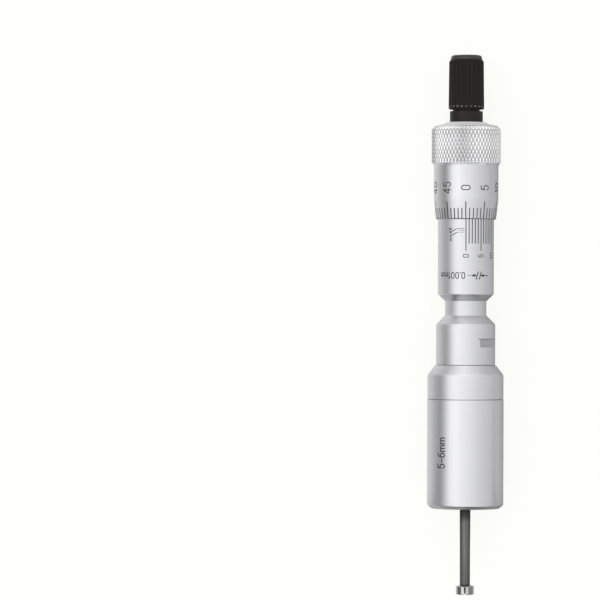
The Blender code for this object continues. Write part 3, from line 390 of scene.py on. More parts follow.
def put_out(group, inside, outside, height):
    """Puts out the height as a shade, its bump as a normal, and a roughness that swings with it.

    Roughness = its base + Variation (height - 0.5).
    """
    swing = math_node(group, "SUBTRACT", height, 0.5)
    swing = math_node(group, "MULTIPLY", swing, inside.outputs["Variation"])
    bump = group.nodes.new("ShaderNodeBump")
    bump.inputs["Distance"].default_value = BUMP_HEIGHT
    plug(group, bump.inputs["Strength"], inside.outputs["Depth"])
    plug(group, bump.inputs["Height"], height)
    plug(group, outside.inputs["Roughness"], math_node(group, "ADD", inside.outputs["Roughness"], swing))
    plug(group, outside.inputs["Shade"], height)
    plug(group, outside.inputs["Normal"], bump.outputs[0])


def machined_surface():
    """Satin grain with marks of the tool round the axis: fine noise plus noise that changes along Y alone.

    Height = grain + marks, each with its own weight.
    """
    group, inside, outside = surface_group(
        "machined_surface",
        {
            "Roughness": 0.3,
            "Variation": 0.05,
            "Grain Scale": 7000.0,
            "Mark Scale": 9000.0,
            "Grain Weight": 0.6,
            "Mark Weight": 0.4,
            "Depth": 0.05,
        },
    )
    place = group.nodes.new("ShaderNodeTexCoord")
    grain = group.nodes.new("ShaderNodeTexNoise")
    grain.inputs["Detail"].default_value = 3.0
    plug(group, grain.inputs["Vector"], place.outputs["Object"])
    plug(group, grain.inputs["Scale"], inside.outputs["Grain Scale"])
    rings = group.nodes.new("ShaderNodeTexNoise")
    rings.noise_dimensions = "1D"
    rings.inputs["Detail"].default_value = 2.0
    plug(group, rings.inputs["W"], coordinates(group, "Object")["Y"])
    plug(group, rings.inputs["Scale"], inside.outputs["Mark Scale"])
    fine = math_node(group, "MULTIPLY", grain.outputs[0], inside.outputs["Grain Weight"])
    marks = math_node(group, "MULTIPLY", rings.outputs[0], inside.outputs["Mark Weight"])
    put_out(group, inside, outside, math_node(group, "ADD", fine, marks))
    return group


def drawn_surface():
    """Marks along the axis, as on drawn or ground rod: noise that is stretched along Y."""
    group, inside, outside = surface_group(
        "drawn_surface",
        {"Roughness": 0.3, "Variation": 0.1, "Streak Scale": 3000.0, "Depth": 0.1},
    )
    place = group.nodes.new("ShaderNodeTexCoord")
    stretch = group.nodes.new("ShaderNodeMapping")
    stretch.inputs["Scale"].default_value = (1.0, DRAWN_ALONG, 1.0)
    plug(group, stretch.inputs["Vector"], place.outputs["Object"])
    streaks = group.nodes.new("ShaderNodeTexNoise")
    streaks.inputs["Detail"].default_value = 3.0
    plug(group, streaks.inputs["Vector"], stretch.outputs[0])
    plug(group, streaks.inputs["Scale"], inside.outputs["Streak Scale"])
    put_out(group, inside, outside, streaks.outputs[0])
    return group


MACHINED = machined_surface()
DRAWN = drawn_surface()


def finish(name, group, settings, dark, light, metallic, **plain):
    """A material: the group gives roughness, bump and a shade that runs from the dark to the light colour."""
    material = bpy.data.materials.new(name)
    material.use_nodes = True
    tree = material.node_tree
    shader = tree.nodes["Principled BSDF"]
    surface = tree.nodes.new("ShaderNodeGroup")
    surface.node_tree = group
    for label, value in settings.items():
        surface.inputs[label].default_value = value
    ramp = tree.nodes.new("ShaderNodeValToRGB")
    for stop, place, tone in zip(ramp.color_ramp.elements, (0.3, 0.7), (dark, light)):
        stop.position = place
        stop.color = (*tone, 1.0)
    plug(tree, ramp.inputs[0], surface.outputs["Shade"])
    plug(tree, shader.inputs["Base Color"], ramp.outputs[0])
    plug(tree, shader.inputs["Roughness"], surface.outputs["Roughness"])
    plug(tree, shader.inputs["Normal"], surface.outputs["Normal"])
    shader.inputs["Metallic"].default_value = metallic
    for label, value in plain.items():
        shader.inputs[label.replace("_", " ")].default_value = value
    material.diffuse_color = (*light, 1.0)
    return material


def shaded_along(material, levels):
    """Multiplies a material's base colour by levels given at stations, as painted shade."""
    tree = material.node_tree
    base = tree.nodes["Principled BSDF"].inputs["Base Color"]
    along = math_node(tree, "DIVIDE", coordinates(tree, "Object")["Y"], LENGTH)
    share = math_node(tree, "ADD", along, 0.5)
    painted_shade = graded(tree, share, [(station * MM / LENGTH, level) for station, level in levels])
    plug(tree, base, mixed(tree, "MULTIPLY", 1.0, base.links[0].from_socket, painted_shade))


def satin(name, roughness, grain=0.05, dark=CHROME_DARK, light=CHROME_LIGHT, metallic=1.0):
    """A satin chrome: the machined surface, its bumps as deep as grain, between two tones of the plating."""
    settings = {"Roughness": roughness, "Variation": 0.08, "Depth": grain}
    return finish(name, MACHINED, settings, dark, light, metallic)


THIMBLE_CHROME = satin("thimble_chrome", 0.20)
CROWN_CHROME = satin("crown_chrome", 0.60, 0.05, (0.88, 0.88, 0.885), (0.95, 0.95, 0.955), 0.25)
# Painted highlight on the knurl's tops and painted shade in its grooves: a lighter and a darker copy of the
# chrome
KNURL_HIGHLIGHT_CHROME = satin("knurl_painted_highlight", 0.20, 0.05, (0.93, 0.93, 0.94), (0.98, 0.98, 0.985))
GROOVE_SHADE_CHROME = satin("groove_painted_shade", 0.34, 0.10, (0.26, 0.26, 0.272), (0.34, 0.34, 0.35))
# Painted shade: a darker copy of the chrome for the lower bevels and the thimble's lip
BEVEL_SHADE_CHROME = satin("bevel_painted_shade", 0.24, 0.05, (0.47, 0.47, 0.495), (0.53, 0.53, 0.555))
NECK_CHROME = satin("neck_chrome", 0.42)
SLEEVE_CHROME = satin("sleeve_chrome", 0.33, 0.10)
TUBE_CHROME = satin("tube_chrome", 0.31)
BARREL_CHROME = satin("barrel_chrome", 0.23, 0.04)
CAP_CHROME = satin("cap_chrome", 0.28, 0.02)
DARK_STEEL = finish(
    "dark_steel",
    DRAWN,
    {"Roughness": 0.36, "Variation": 0.12, "Depth": 0.12},
    (0.13, 0.13, 0.128),
    (0.24, 0.238, 0.232),
    1.0,
)
STEM_STEEL = finish(
    "stem_steel",
    DRAWN,
    {"Roughness": 0.34, "Variation": 0.12, "Depth": 0.12},
    (0.12, 0.12, 0.118),
    (0.215, 0.213, 0.208),
    1.0,
)
# Painted shade: the stem darker at its root in the barrel and just above the head
shaded_along(STEM_STEEL, [(2.5, 0.35), (3.1, 1.0), (20.2, 1.0), (21.6, 0.45), (23.9, 0.16)])
POLISHED_STEEL = finish(
    "polished_steel",
    MACHINED,
    {"Roughness": 0.14, "Variation": 0.05, "Mark Scale": 14000.0, "Depth": 0.04},
    (0.58, 0.58, 0.58),
    (0.72, 0.72, 0.72),
    1.0,
)
INNER_STEEL = finish(
    "inner_steel",
    MACHINED,
    {"Roughness": 0.26, "Variation": 0.10, "Mark Scale": 5000.0, "Mark Weight": 0.7, "Depth": 0.10},
    (0.50, 0.50, 0.51),
    (0.68, 0.68, 0.69),
    1.0,
)
GROUND_STEEL = finish(
    "ground_steel",
    MACHINED,
    {"Roughness": 0.34, "Variation": 0.10, "Mark Scale": 6000.0, "Depth": 0.12},
    (0.56, 0.56, 0.575),
    (0.64, 0.64, 0.655),
    1.0,
)
# Painted shade: a dark copy of the polished steel for the relief flats on the head
RELIEF_SHADE_STEEL = finish(
    "relief_painted_shade",
    MACHINED,
    {"Roughness": 0.20, "Variation": 0.08, "Mark Scale": 14000.0, "Depth": 0.05},
    (0.27, 0.27, 0.27),
    (0.35, 0.35, 0.35),
    1.0,
)
SPRING_STEEL = finish(
    "spring_steel",
    MACHINED,
    {"Roughness": 0.30, "Variation": 0.12, "Depth": 0.08},
    (0.34, 0.34, 0.35),
    (0.52, 0.52, 0.53),
    1.0,
)
BRONZE = finish(
    "bronze",
    MACHINED,
    {"Roughness": 0.33, "Variation": 0.12, "Mark Weight": 0.7, "Depth": 0.10},
    (0.46, 0.29, 0.13),
    (0.62, 0.41, 0.20),
    1.0,
)
BLACK_PLASTIC = finish(
    "black_plastic",
    MACHINED,
    {"Roughness": 0.42, "Variation": 0.14, "Grain Scale": 5000.0, "Grain Weight": 0.9, "Depth": 0.25},
    (0.0065, 0.0055, 0.0035),
    (0.0105, 0.0088, 0.0060),
    0.0,
    Specular_IOR_Level=0.20,
)
COLLAR_PLASTIC = finish(
    "collar_plastic",
    MACHINED,
    {"Roughness": 0.38, "Variation": 0.14, "Grain Scale": 5000.0, "Grain Weight": 0.9, "Depth": 0.2},
    (0.0120, 0.0105, 0.0090),
    (0.0180, 0.0160, 0.0140),
    0.0,
    Specular_IOR_Level=0.24,
)
# Glossier plastic for the knob's top boss, its colour lighter than the knob's as a painted highlight
BOSS_HIGHLIGHT_PLASTIC = finish(
    "boss_painted_highlight",
    MACHINED,
    {"Roughness": 0.30, "Variation": 0.14, "Grain Scale": 3000.0, "Grain Weight": 0.9, "Depth": 0.2},
    (0.024, 0.018, 0.016),
    (0.046, 0.038, 0.034),
    0.0,
    Specular_IOR_Level=0.5,
)
# Painted highlight: light patches on the knob's foot where the flutes run out, standing in for glints there
RUNOUT_GLINT = finish(
    "runout_painted_glint",
    MACHINED,
    {
        "Roughness": 0.35,
        "Variation": 0.3,
        "Grain Scale": 900.0,
        "Grain Weight": 1.0,
        "Mark Weight": 0.0,
        "Depth": 0.2,
    },
    (0.02, 0.019, 0.018),
    (0.85, 0.84, 0.82),
    0.5,
)
BLACK_FILL = finish(
    "black_fill",
    MACHINED,
    {"Roughness": 0.45, "Variation": 0.2, "Grain Scale": 4000.0, "Depth": 0.2},
    (0.030, 0.030, 0.033),
    (0.060, 0.060, 0.064),
    0.0,
    Specular_IOR_Level=0.42,
)


# Turned bodies


def knurl_cut(radius, angle, station):
    """Two crossing sets of V grooves: 1 in a groove and 0 midway, the deeper set wins, and tops stay flat.

    Each set's phase is KNURL_COUNT angle / full turn, plus or minus station / KNURL_PITCH. Over the shoulder
    the depth is taken from the profile itself and fades to nothing at KNURL_END.
    """
    round_phase = KNURL_COUNT * angle / FULL_TURN
    along_phase = (station - KNURL_CROSSING) / KNURL_PITCH
    groove = 0.0 * radius
    for way in (1, -1):
        phase = round_phase + way * along_phase
        groove = np.maximum(groove, 1.0 - 2.0 * np.abs((phase + 0.5) % 1.0 - 0.5))
    depth = np.clip((groove - KNURL_FLAT) / (1.0 - KNURL_FLAT), 0.0, 1.0)
    on_grip = np.minimum(radius, KNURL_TOP_R - KNURL_DEPTH * depth)
    fade = np.clip((KNURL_END - station) / KNURL_FADE, 0.0, 1.0)
    on_shoulder = radius - KNURL_DEPTH * depth * fade
    cut = np.where(station > KNURL_SHOULDER, on_shoulder, on_grip)
    return np.where((station > KNURL_START) & (radius > THIMBLE_BORE_R + 0.01), cut, radius)


def flat_cut(radius, angle, station):
    """Two flats: the radius is at most the flat's distance over the cosine of the angle to it.

    At both ends the distance rises by a quarter circle of radius FLAT_FILLET, as the milling cutter leaves
    it, and a narrow line along the upper end is cut a little deeper.
    """
    inside = (station > FLAT_LOW) & (station < FLAT_HIGH) & (radius > FLAT_FROM_AXIS)
    from_end = np.clip(np.minimum(station - FLAT_LOW, FLAT_HIGH - station), 0.0, FLAT_FILLET)
    rise = FLAT_FILLET - np.sqrt(FLAT_FILLET**2 - (FLAT_FILLET - from_end) ** 2)
    on_line = np.abs(station - FLAT_HIGH + FLAT_LINE_BELOW) < FLAT_LINE_HALF
    line = np.where(on_line, FLAT_LINE_DEPTH, 0.0)
    facing = np.maximum(np.abs(np.cos(angle - FLAT_ANGLE)), 0.1)
    return np.where(inside, np.minimum(radius, (FLAT_FROM_AXIS + rise - line) / facing), radius)


def flute_cut(radius, angle, station):
    """Round-bottomed flutes: depth less half the squared distance over the cutter's radius.

    They run out at the foot. The chamber's wall is a hexagon: its apothem over the cosine of the angle from
    the middle of each side.
    """
    to_middle = ((angle * FLUTE_COUNT / FULL_TURN + 0.5) % 1.0 - 0.5) * FULL_TURN / FLUTE_COUNT
    runout = np.clip((FLUTE_START + FLUTE_RUNOUT - station) / FLUTE_RUNOUT, 0.0, 1.0) ** 2
    depth = FLUTE_DEPTH * (1.0 - runout) - (radius * to_middle) ** 2 / (2 * FLUTE_CUTTER_R)
    crest = np.interp(station, CREST_STATIONS, CREST_RADII)
    fluted = np.minimum(radius, crest - np.clip(depth, 0.0, None))
    side = (angle % (math.pi / 3)) - math.pi / 6
    on_chamber = (np.abs(radius - CHAMBER_R) < 0.02) & (station < 144.0)
    inner = np.where(on_chamber, CHAMBER_APOTHEM / np.cos(side), radius)
    return np.where(radius > 4.5, fluted, inner)


def barrel():
    """The grip: a cup with a rounded lower edge, open above for the cap's spigot."""
    corners = [
        (8.55, 54.45, 0.1), (BARREL_R, 54.45, 0.12), (BARREL_R, 25.05, 0.35), (9.5, 24.08, 0.3),
        (6.4, 23.9, 0.8), (1.625, 23.9, 0.12), (1.625, 27.0, 0.0), (6.5, 27.0, 0.2),
        (6.5, 46.0, 0.0), (8.55, 46.0, 0.0),
    ]
    points, faces = carried_round(rounded(corners, 8), PLAIN_COLUMNS)
    shell = piece("barrel_shell", points, faces, "frame", BARREL_CHROME, ["barrel"])
    # Painted shade on the barrel's lower bevel
    repaint(shell, BEVEL_SHADE_CHROME, inner=9.4, high=24.95)


def barrel_cap():
    """The collar above the seam: a sloping shoulder that rounds into its side, and the spigot below."""
    corners = [
        (5.55, 64.02, 0.05), (8.45, 64.02, 0.1), (8.57, 63.85, 0.1), (10.6, 61.3, 0.45),
        (10.6, 54.55, 0.14), (8.5, 54.55, 0.0), (8.5, 46.55, 0.15), (5.55, 46.55, 0.1),
    ]
    points, faces = carried_round(rounded(corners, 8), PLAIN_COLUMNS)
    piece("barrel_cap_shell", points, faces, "frame", CAP_CHROME, ["barrel_cap"])


def main_tube():
    """Shank, connector with two wrench flats, neck, and inner sleeve with a shoulder under the outer sleeve.

    Two rows stand close together at each end of the flats, where their cut begins.
    """
    corners = [
        (3.55, 123.5, 0.05), (5.6, 123.5, 0.05), (5.6, 117.5, 0.0), (6.9, 117.5, 0.1),
        (6.9, 83.65, 0.1), (5.75, 82.5, 0.05), (5.75, 77.9, 0.15), (CONNECTOR_R, 75.4, 0.22),
        (CONNECTOR_R, FLAT_HIGH + 0.01, 0.0), (CONNECTOR_R, FLAT_HIGH - 0.01, 0.0),
        (CONNECTOR_R, FLAT_LOW + 0.01, 0.0), (CONNECTOR_R, FLAT_LOW - 0.01, 0.0),
        (CONNECTOR_R, 64.1, 0.2), (5.5, 64.1, 0.0), (5.5, 50.35, 0.1), (3.225, 50.35, 0.1),
        (3.225, 104.0, 0.0), (3.55, 104.0, 0.0),
    ]
    path = with_rows(rounded(corners, 6), FLAT_LOW, FLAT_HIGH, 0.04)
    points, faces = carried_round(path, 480, flat_cut)
    body = piece("main_tube_body", points, faces, "frame", TUBE_CHROME, ["main_tube"])
    repaint(body, NECK_CHROME, outer=5.8, low=77.7, high=82.6)
    repaint(body, GROUND_STEEL, inner=7.0, outer=CONNECTOR_R - 0.015, low=FLAT_LOW, high=FLAT_HIGH)


def graduated_sleeve():
    """The outer sleeve, bevelled to the neck at its lower end."""
    corners = [
        (6.95, 118.3, 0.05), (SLEEVE_R, 118.3, 0.08), (SLEEVE_R, 83.85, 0.3), (5.88, 81.93, 0.05),
        (5.85, 82.4, 0.0), (6.95, 83.5, 0.0),
    ]
    points, faces = carried_round(rounded(corners, 6), PLAIN_COLUMNS)
    shell = piece(
        "graduated_sleeve_shell", points, faces, "frame", SLEEVE_CHROME, ["graduated_sleeve"]
    )
    # Painted shade on the sleeve's lower bevel
    repaint(shell, BEVEL_SHADE_CHROME, inner=5.9, high=83.6)


def thimble():
    """The thimble: cone, cylinder, knurled grip chamfered at both ends, and the crown over the taper bore."""
    corners = [
        (THIMBLE_BORE_R, 104.65, 0.05), (8.12, 104.62, 0.04), (8.35, 104.88, 0.05), (THIMBLE_R, 110.2, 0.12),
        (THIMBLE_R, 119.55, 0.1), (9.42, 120.3, 0.08), (9.68, 120.55, 0.08), (KNURL_TOP_R, 129.6, 0.3),
        (9.15, 130.45, 0.3), (8.5, 130.75, 0.3), (6.5, 131.2, 0.5), (5.3, 131.78, 0.1),
        (2.65, 131.78, 0.08), (2.95, 127.5, 0.0), (THIMBLE_BORE_R, 127.5, 0.2),
    ]
    path = with_rows(rounded(corners, 4), 120.3, 130.9, KNURL_PITCH / 20)
    points, faces = carried_round(path, KNURL_COUNT * 10, knurl_cut)
    shell = piece(
        "thimble_shell", points, faces, "thimble", THIMBLE_CHROME, ["thimble"], 28.0
    )
    shaded_groove_top = KNURL_TOP_R - GROOVE_SHADE_SHARE * KNURL_DEPTH
    # Painted highlight on the knurl's tops, painted shade deep in its grooves
    repaint(shell, KNURL_HIGHLIGHT_CHROME, inner=THIMBLE_R, low=120.45)
    repaint(shell, GROOVE_SHADE_CHROME, inner=THIMBLE_R, outer=shaded_groove_top, low=120.55, high=129.65)
    repaint(shell, CROWN_CHROME, outer=THIMBLE_R, low=CROWN_START)
    # Painted shade on the thimble's lower lip
    repaint(shell, BEVEL_SHADE_CHROME, high=104.9)


def ratchet_base():
    """The collar and its neck, with a ring of face teeth that rise over each pitch and drop at its end."""
    corners = [
        (1.55, 137.05, 0.0), (3.75, 137.05, 0.12), (3.75, 134.85, 0.0), (4.6, 134.85, 0.16),
        (4.6, 131.87, 0.18), (2.65, 131.87, 0.0), (2.65, 133.45, 0.0), (1.3, 133.45, 0.0),
        (1.3, 134.17, 0.0), (1.55, 134.17, 0.0),
    ]
    points, faces = carried_round(rounded(corners, 6), 192)
    teeth, columns, ramp, rise = 12, 8, 0.96, 0.7
    inner, outer, bottom, foot = 1.75, 3.2, 136.35, 137.0
    tooth, share = np.divmod(np.arange(teeth * columns), columns)
    share = share / (columns - 1) * ramp
    angle = ((tooth + share) / teeth * FULL_TURN)[:, None] * -1
    top = (foot + rise * share / ramp)[:, None]
    radius = np.array([[inner, outer, outer, inner]])
    station = np.concatenate([0 * top + bottom, 0 * top + bottom, top, top], axis=1)
    ring = round_axis(radius, angle, station).reshape(-1, 3)
    faces = np.concatenate([faces, grid_faces(len(angle), 4, True, True, len(points))])
    points = np.concatenate([points, ring])
    piece("ratchet_collar", points, faces, "thimble", COLLAR_PLASTIC, ["ratchet_base"])


def ratchet_knob():
    """The fluted knob: its flutes run out above the foot and through the bevel under the boss."""
    corners = [
        (4.86, 135.37, 0.1), (4.98, 136.0, 0.2), (4.86, 148.6, 0.12), (4.42, 149.22, 0.1),
        (4.36, 149.35, 0.1), (4.30, 150.1, 0.25), (3.75, 150.48, 0.2), (2.9, 150.48, 0.12),
        (2.9, 146.3, 0.0), (1.6, 146.3, 0.0), (1.6, 143.0, 0.0), (CHAMBER_R, 142.99, 0.0),
        (CHAMBER_R, 137.16, 0.0), (3.85, 137.1, 0.0), (3.85, 135.37, 0.1),
    ]
    path = with_rows(rounded(corners, 5), 135.9, 137.3, 0.07)
    points, faces = carried_round(path, FLUTE_COUNT * 20, flute_cut)
    grip = piece(
        "ratchet_knob_grip",
        points,
        faces,
        "ratchet_knob",
        BLACK_PLASTIC,
        ["ratchet_knob"],
        26.0,
    )
    # Painted highlight on the knob's top boss
    repaint(grip, BOSS_HIGHLIGHT_PLASTIC, inner=3.2, low=149.3)
    # Painted highlight where the flutes run out at the foot
    repaint(grip, RUNOUT_GLINT, inner=4.5, outer=4.93, low=136.05, high=136.75)


def stem():
    """The thin tube, a little thicker at its root, and the two prongs that reach into the head's slit."""
    corners = [
        (0.675, 31.0, 0.0), (1.5, 31.0, 0.05), (1.495, 21.0, 0.0), (1.44, 13.0, 0.0),
        (1.43, 2.46, 0.06), (0.675, 2.46, 0.0),
    ]
    points, faces = carried_round(rounded(corners, 3), 128)
    corner = np.array([[i, j, k] for i in (0, 1) for j in (0, 1) for k in (0, 1)])
    sides = np.array([[0, 1, 3, 2], [4, 6, 7, 5], [0, 4, 5, 1], [2, 3, 7, 6], [0, 2, 6, 4], [1, 5, 7, 3]])
    for side in (-1, 1):
        middle = AXIS_Z / MM + side * PRONG_OUT
        low = np.array([-PRONG_HALF_WIDTH, PRONG_LOW, middle - PRONG_HALF_DEPTH])
        high = np.array([PRONG_HALF_WIDTH, PRONG_HIGH, middle + PRONG_HALF_DEPTH])
        box = (low + corner * (high - low)) * MM - np.array([0.0, LENGTH / 2, 0.0])
        faces = np.concatenate([faces, sides + len(points)])
        points = np.concatenate([points, box])
    piece("stem_tube", points, faces, "frame", STEM_STEEL, ["stem"])


def wire_round(radius, angle, station, wire_radius):
    """(points, faces) of a round wire laid round the axis at a radius, by angle and station."""
    out = np.stack([np.sin(angle), 0 * angle, np.cos(angle)], axis=-1)
    along = np.stack([0 * angle, 0 * angle + 1.0, 0 * angle], axis=-1)
    return tube_along(round_axis(radius, angle, station), out, along, wire_radius * MM, 12)


def contact_spring():
    """The open wire ring in the contacts' groove, in two halves that meet over the slit.

    Each half begins with a short length over the slit.
    ring is open at the back.
    """
    over_slit, to_opening = np.linspace(0.0, 6.0, 9), np.linspace(9.0, 165.0, 53)
    for side, way in (("left", -1), ("right", 1)):
        angle = way * np.radians(np.concatenate([over_slit, to_opening]))
        points, faces = wire_round(1.9, angle, 2.15, 0.15)
        name = "contact_spring_" + side
        half = piece(name, points, faces, None, SPRING_STEEL, ["contact_spring"])
        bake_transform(half)


def coil_spring(node, radius, wire_radius, low, high, turns, body):
    """A helix between two flat half turns, from the low to the high station."""
    turn = np.linspace(0.0, turns, int(turns * 36) + 1)
    share = np.clip((turn - 0.5) / (turns - 1.0), 0.0, 1.0)
    station = low + wire_radius + share * (high - low - 2 * wire_radius)
    points, faces = wire_round(radius, FULL_TURN * turn, station, wire_radius)
    coil = piece(node + "_coil", points, faces, body, SPRING_STEEL, [node])
    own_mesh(coil)


# Lines and figures


def arc_points(centre_u, centre_v, radius_u, radius_v, start_deg, end_deg, count=12):
    """Points of an arc of an ellipse, from one angle to another."""
    angle = np.radians(np.linspace(start_deg, end_deg, count + 1))
    return np.stack([centre_u + radius_u * np.cos(angle), centre_v + radius_v * np.sin(angle)], axis=-1)


def joined(*runs):
    """One run of points from several, end to end."""
    return np.concatenate([np.asarray(run, float) for run in runs])


def engraved_glyphs():
    """The width and strokes of each sign, one high: runs of points and arcs, as an engraving cutter goes."""
    right = 0.54
    half = right / 2
    zero = joined(arc_points(half, 0.73, half, 0.27, 0, 180), arc_points(half, 0.27, half, 0.27, 180, 360))
    return {
        "0": (right, [joined(zero, zero[:1])]),
        "1": (0.3, [joined([(0.04, 0.76), (0.24, 1.0)]), joined([(0.24, 1.0), (0.24, 0.0)])]),
        "2": (
            right,
            [
                joined(arc_points(half, 0.72, half, 0.28, 165, -28), [(0.0, 0.0)]),
                joined([(0.0, 0.0), (0.54, 0.0)]),
            ],
        ),
        "3": (
            right,
            [
                arc_points(half - 0.02, 0.765, 0.235, 0.235, 155, -90),
                arc_points(half - 0.02, 0.265, 0.275, 0.265, 90, -155),
            ],
        ),
        "4": (
            right,
            [
                joined([(0.40, 0.0), (0.40, 1.0)]),
                joined([(0.40, 1.0), (0.0, 0.27)]),
                joined([(0.0, 0.27), (0.56, 0.27)]),
            ],
        ),
        "5": (
            right,
            [
                joined([(0.48, 1.0), (0.07, 1.0)]),
                joined([(0.07, 1.0), (0.03, 0.53)]),
                joined([(0.03, 0.53)], arc_points(0.25, 0.33, 0.28, 0.33, 125, -150, 18)),
            ],
        ),
        "6": (
            right,
            [
                joined([(0.46, 0.98)], arc_points(0.5, 0.34, 0.5, 0.64, 100, 180, 8)),
                arc_points(half, 0.3, half, 0.3, 180, -180, 24),
            ],
        ),
        "m": (
            0.76,
            [
                joined([(0.0, 0.0), (0.0, 0.6)]),
                joined(arc_points(0.19, 0.42, 0.19, 0.19, 180, 0), [(0.38, 0.0)]),
                joined(arc_points(0.57, 0.42, 0.19, 0.19, 180, 0), [(0.76, 0.0)]),
            ],
        ),
        "-": (0.42, [joined([(0.02, 0.4), (0.40, 0.4)])]),
        ".": (0.0, [joined([(-0.04, 0.05), (0.04, 0.05)])]),
    }


GLYPHS = engraved_glyphs()


def written(text, height, gap=0.2, narrow=1.0):
    """Strokes of a line of text, centred on nought, in millimetres.

    gap is the space between two signs over the height, and narrow the share of its width each sign keeps.
    """
    strokes, pen = [], 0.0
    for sign in text:
        width, runs = GLYPHS[sign]
        strokes += [(run * [narrow, 1.0] + [pen, -0.5]) * height for run in runs]
        pen += width * narrow + gap
    return [run - [(pen - gap) * height / 2, 0.0] for run in strokes]


def placed(strokes, right, up, turn_deg=0.0):
    """The strokes turned anticlockwise and moved on the unrolled surface: right, and up the stations."""
    turn = math.radians(turn_deg)
    matrix = np.array([[math.cos(turn), math.sin(turn)], [-math.sin(turn), math.cos(turn)]])
    return [run @ matrix + [right, up] for run in strokes]


def evened(run, step=0.12):
    """The run with points added so that none are further apart than step."""
    counts = np.maximum(1, np.ceil(np.linalg.norm(np.diff(run, axis=0), axis=1) / step)).astype(int)
    spans = [a + (b - a) * (np.arange(n) / n)[:, None] for a, b, n in zip(run, run[1:], counts)]
    return np.concatenate([*spans, run[-1:]])


def filled_strokes(name, strokes, radius_at, body):
    """Strokes as thin bars of black fill laid in a round surface.

    strokes are (run, width). A run's first coordinate is the distance round the surface and its second the
    station. Each point gets four corners: half the width to either side, a hair above the surface and a
    little below it.
    """
    all_points, all_faces, count = [], [], 0
    for run, width in strokes:
        run = evened(run)
        way = np.gradient(run, axis=0)
        way /= np.linalg.norm(way, axis=1, keepdims=True)
        closed = np.allclose(run[0], run[-1])
        if closed:
            way[0] = way[-1] = (way[0] + way[-1]) / np.linalg.norm(way[0] + way[-1])
        else:
            run[0] -= way[0] * width / 2
            run[-1] += way[-1] * width / 2
        across = np.stack([-way[:, 1], way[:, 0]], axis=-1) * width / 2
        corners = np.stack([run + across, run - across, run - across, run + across], axis=1)
        surface = radius_at(corners[..., 1])
        lift = np.array([FILL_PROUD, FILL_PROUD, -FILL_SUNK, -FILL_SUNK])
        points = round_axis(surface + lift, corners[..., 0] / surface, corners[..., 1]).reshape(-1, 3)
        faces = grid_faces(len(run), 4, False, True, count)
        if not closed:
            first, last = count, count + len(points) - 4
            ends = np.array([[first, first + 1, first + 2, first + 3], [last + 3, last + 2, last + 1, last]])
            faces = np.concatenate([faces, ends])
        all_points.append(points)
        all_faces.append(faces)
        count += len(points)
    return piece(name, np.concatenate(all_points), np.concatenate(all_faces), body, BLACK_FILL)


def thimble_surface(station):
    """Radius of the thimble below its knurl: a cone and then a cylinder."""
    return np.interp(station, CONE_STATIONS, CONE_RADII)


def sleeve_surface(station):
    """Radius of the sleeve, the same at every station."""
    return np.full_like(station, SLEEVE_R)


def barrel_surface(station):
    """Radius of the barrel, the same at every station."""
    return np.full_like(station, BARREL_R)


def thimble_scale():
    """Fifty lines, every fifth one long, and a figure over each long line."""
    strokes = []
    for division in range(THIMBLE_DIVISIONS):
        angle = FULL_TURN * division / THIMBLE_DIVISIONS + THIMBLE_REST
        long = division % 5 == 0
        stations = np.array([104.85, 109.4 if long else 107.6])
        line = np.stack([angle * thimble_surface(stations), stations], axis=-1)
        strokes.append((line, 0.29 if long else 0.245))
        if long:
            figure = written(str(division), 2.42, 0.26, 0.92)
            strokes += [(run, 0.27) for run in placed(figure, angle * THIMBLE_R, 113.35, 90.0)]
    filled_strokes("thimble_scale", strokes, thimble_surface, "thimble")


def vernier_scale():
    """Eleven lines from the nought to the right, with figures under the first, middle and last.

    At the left are three short lead lines, two of them bent down, and the small signs of the range.
    """
    strokes = []
    for division in range(VERNIER_DIVISIONS + 1):
        right = division * VERNIER_STEP * SLEEVE_R
        low = 96.0 if division % 5 == 0 else 98.0
        strokes.append((np.array([[right, low], [right, 105.2]]), 0.26))
        if division % 5 == 0:
            figure = written(str(division), 1.52, 0.26)
            strokes += [(run, 0.20) for run in placed(figure, right, 94.45, 90.0)]
    for station, left, width in ((102.0, -2.4, 0.14), (101.5, -2.0, 0.10), (101.0, -2.4, 0.10)):
        strokes.append((np.array([[left, station], [-0.45, station]]), width))
    for start, end in ((102.0, 101.3), (101.0, 100.25)):
        strokes.append((np.array([[-2.4, start], [-2.7, start - 0.1]]), 0.13))
        strokes.append((np.array([[-2.7, start - 0.1], [-3.85, end]]), 0.22))
    signs = (("5", 101.95, 0.18), ("6", 101.05, 0.18), ("m", 100.0, 0.15), ("m", 99.0, 0.15))
    for sign, station, width in signs:
        strokes += [(run, width) for run in placed(written(sign, 0.86), -4.56, station, 90.0)]
    filled_strokes("vernier_scale", strokes, sleeve_surface, "frame")


def resolution_mark():
    """The resolution, upside down: a figure with its unit, and two arrows that close on two slanted bars.

    An arrow's head is three short bars that grow narrower towards its tip.
    """
    station = 89.0
    strokes = [(run, 0.25) for run in placed(written("0.001mm", 1.66, 0.285, 0.90), -4.30, station, 180.0)]
    for tail, tip, way, width in ((0.55, 2.98, 1, 0.13), (6.94, 4.42, -1, 0.20)):
        strokes.append((np.array([[tail, station], [tip - way * 0.3, station]]), width))
        for thickness, back in ((0.62, 0.8), (0.40, 0.55), (0.18, 0.3)):
            bar = np.array([[tip - way * back, station], [tip - way * (back - 0.22), station]])
            strokes.append((bar, thickness))
    for right in (3.25, 4.22):
        bar = np.array([[right - 0.28, station - 0.95], [right + 0.28, station + 0.95]])
        strokes.append((bar, 0.29))
    filled_strokes("resolution_mark", strokes, sleeve_surface, "frame")


def range_mark():
    """The measuring range along the barrel, read with the head to the left."""
    right = math.radians(-39.0) * BARREL_R
    strokes = [(run, 0.33) for run in placed(written("5-6mm", 2.32, 0.22, 0.90), right, 39.75, 90.0)]
    filled_strokes("range_mark", strokes, barrel_surface, "frame")


# Everything together

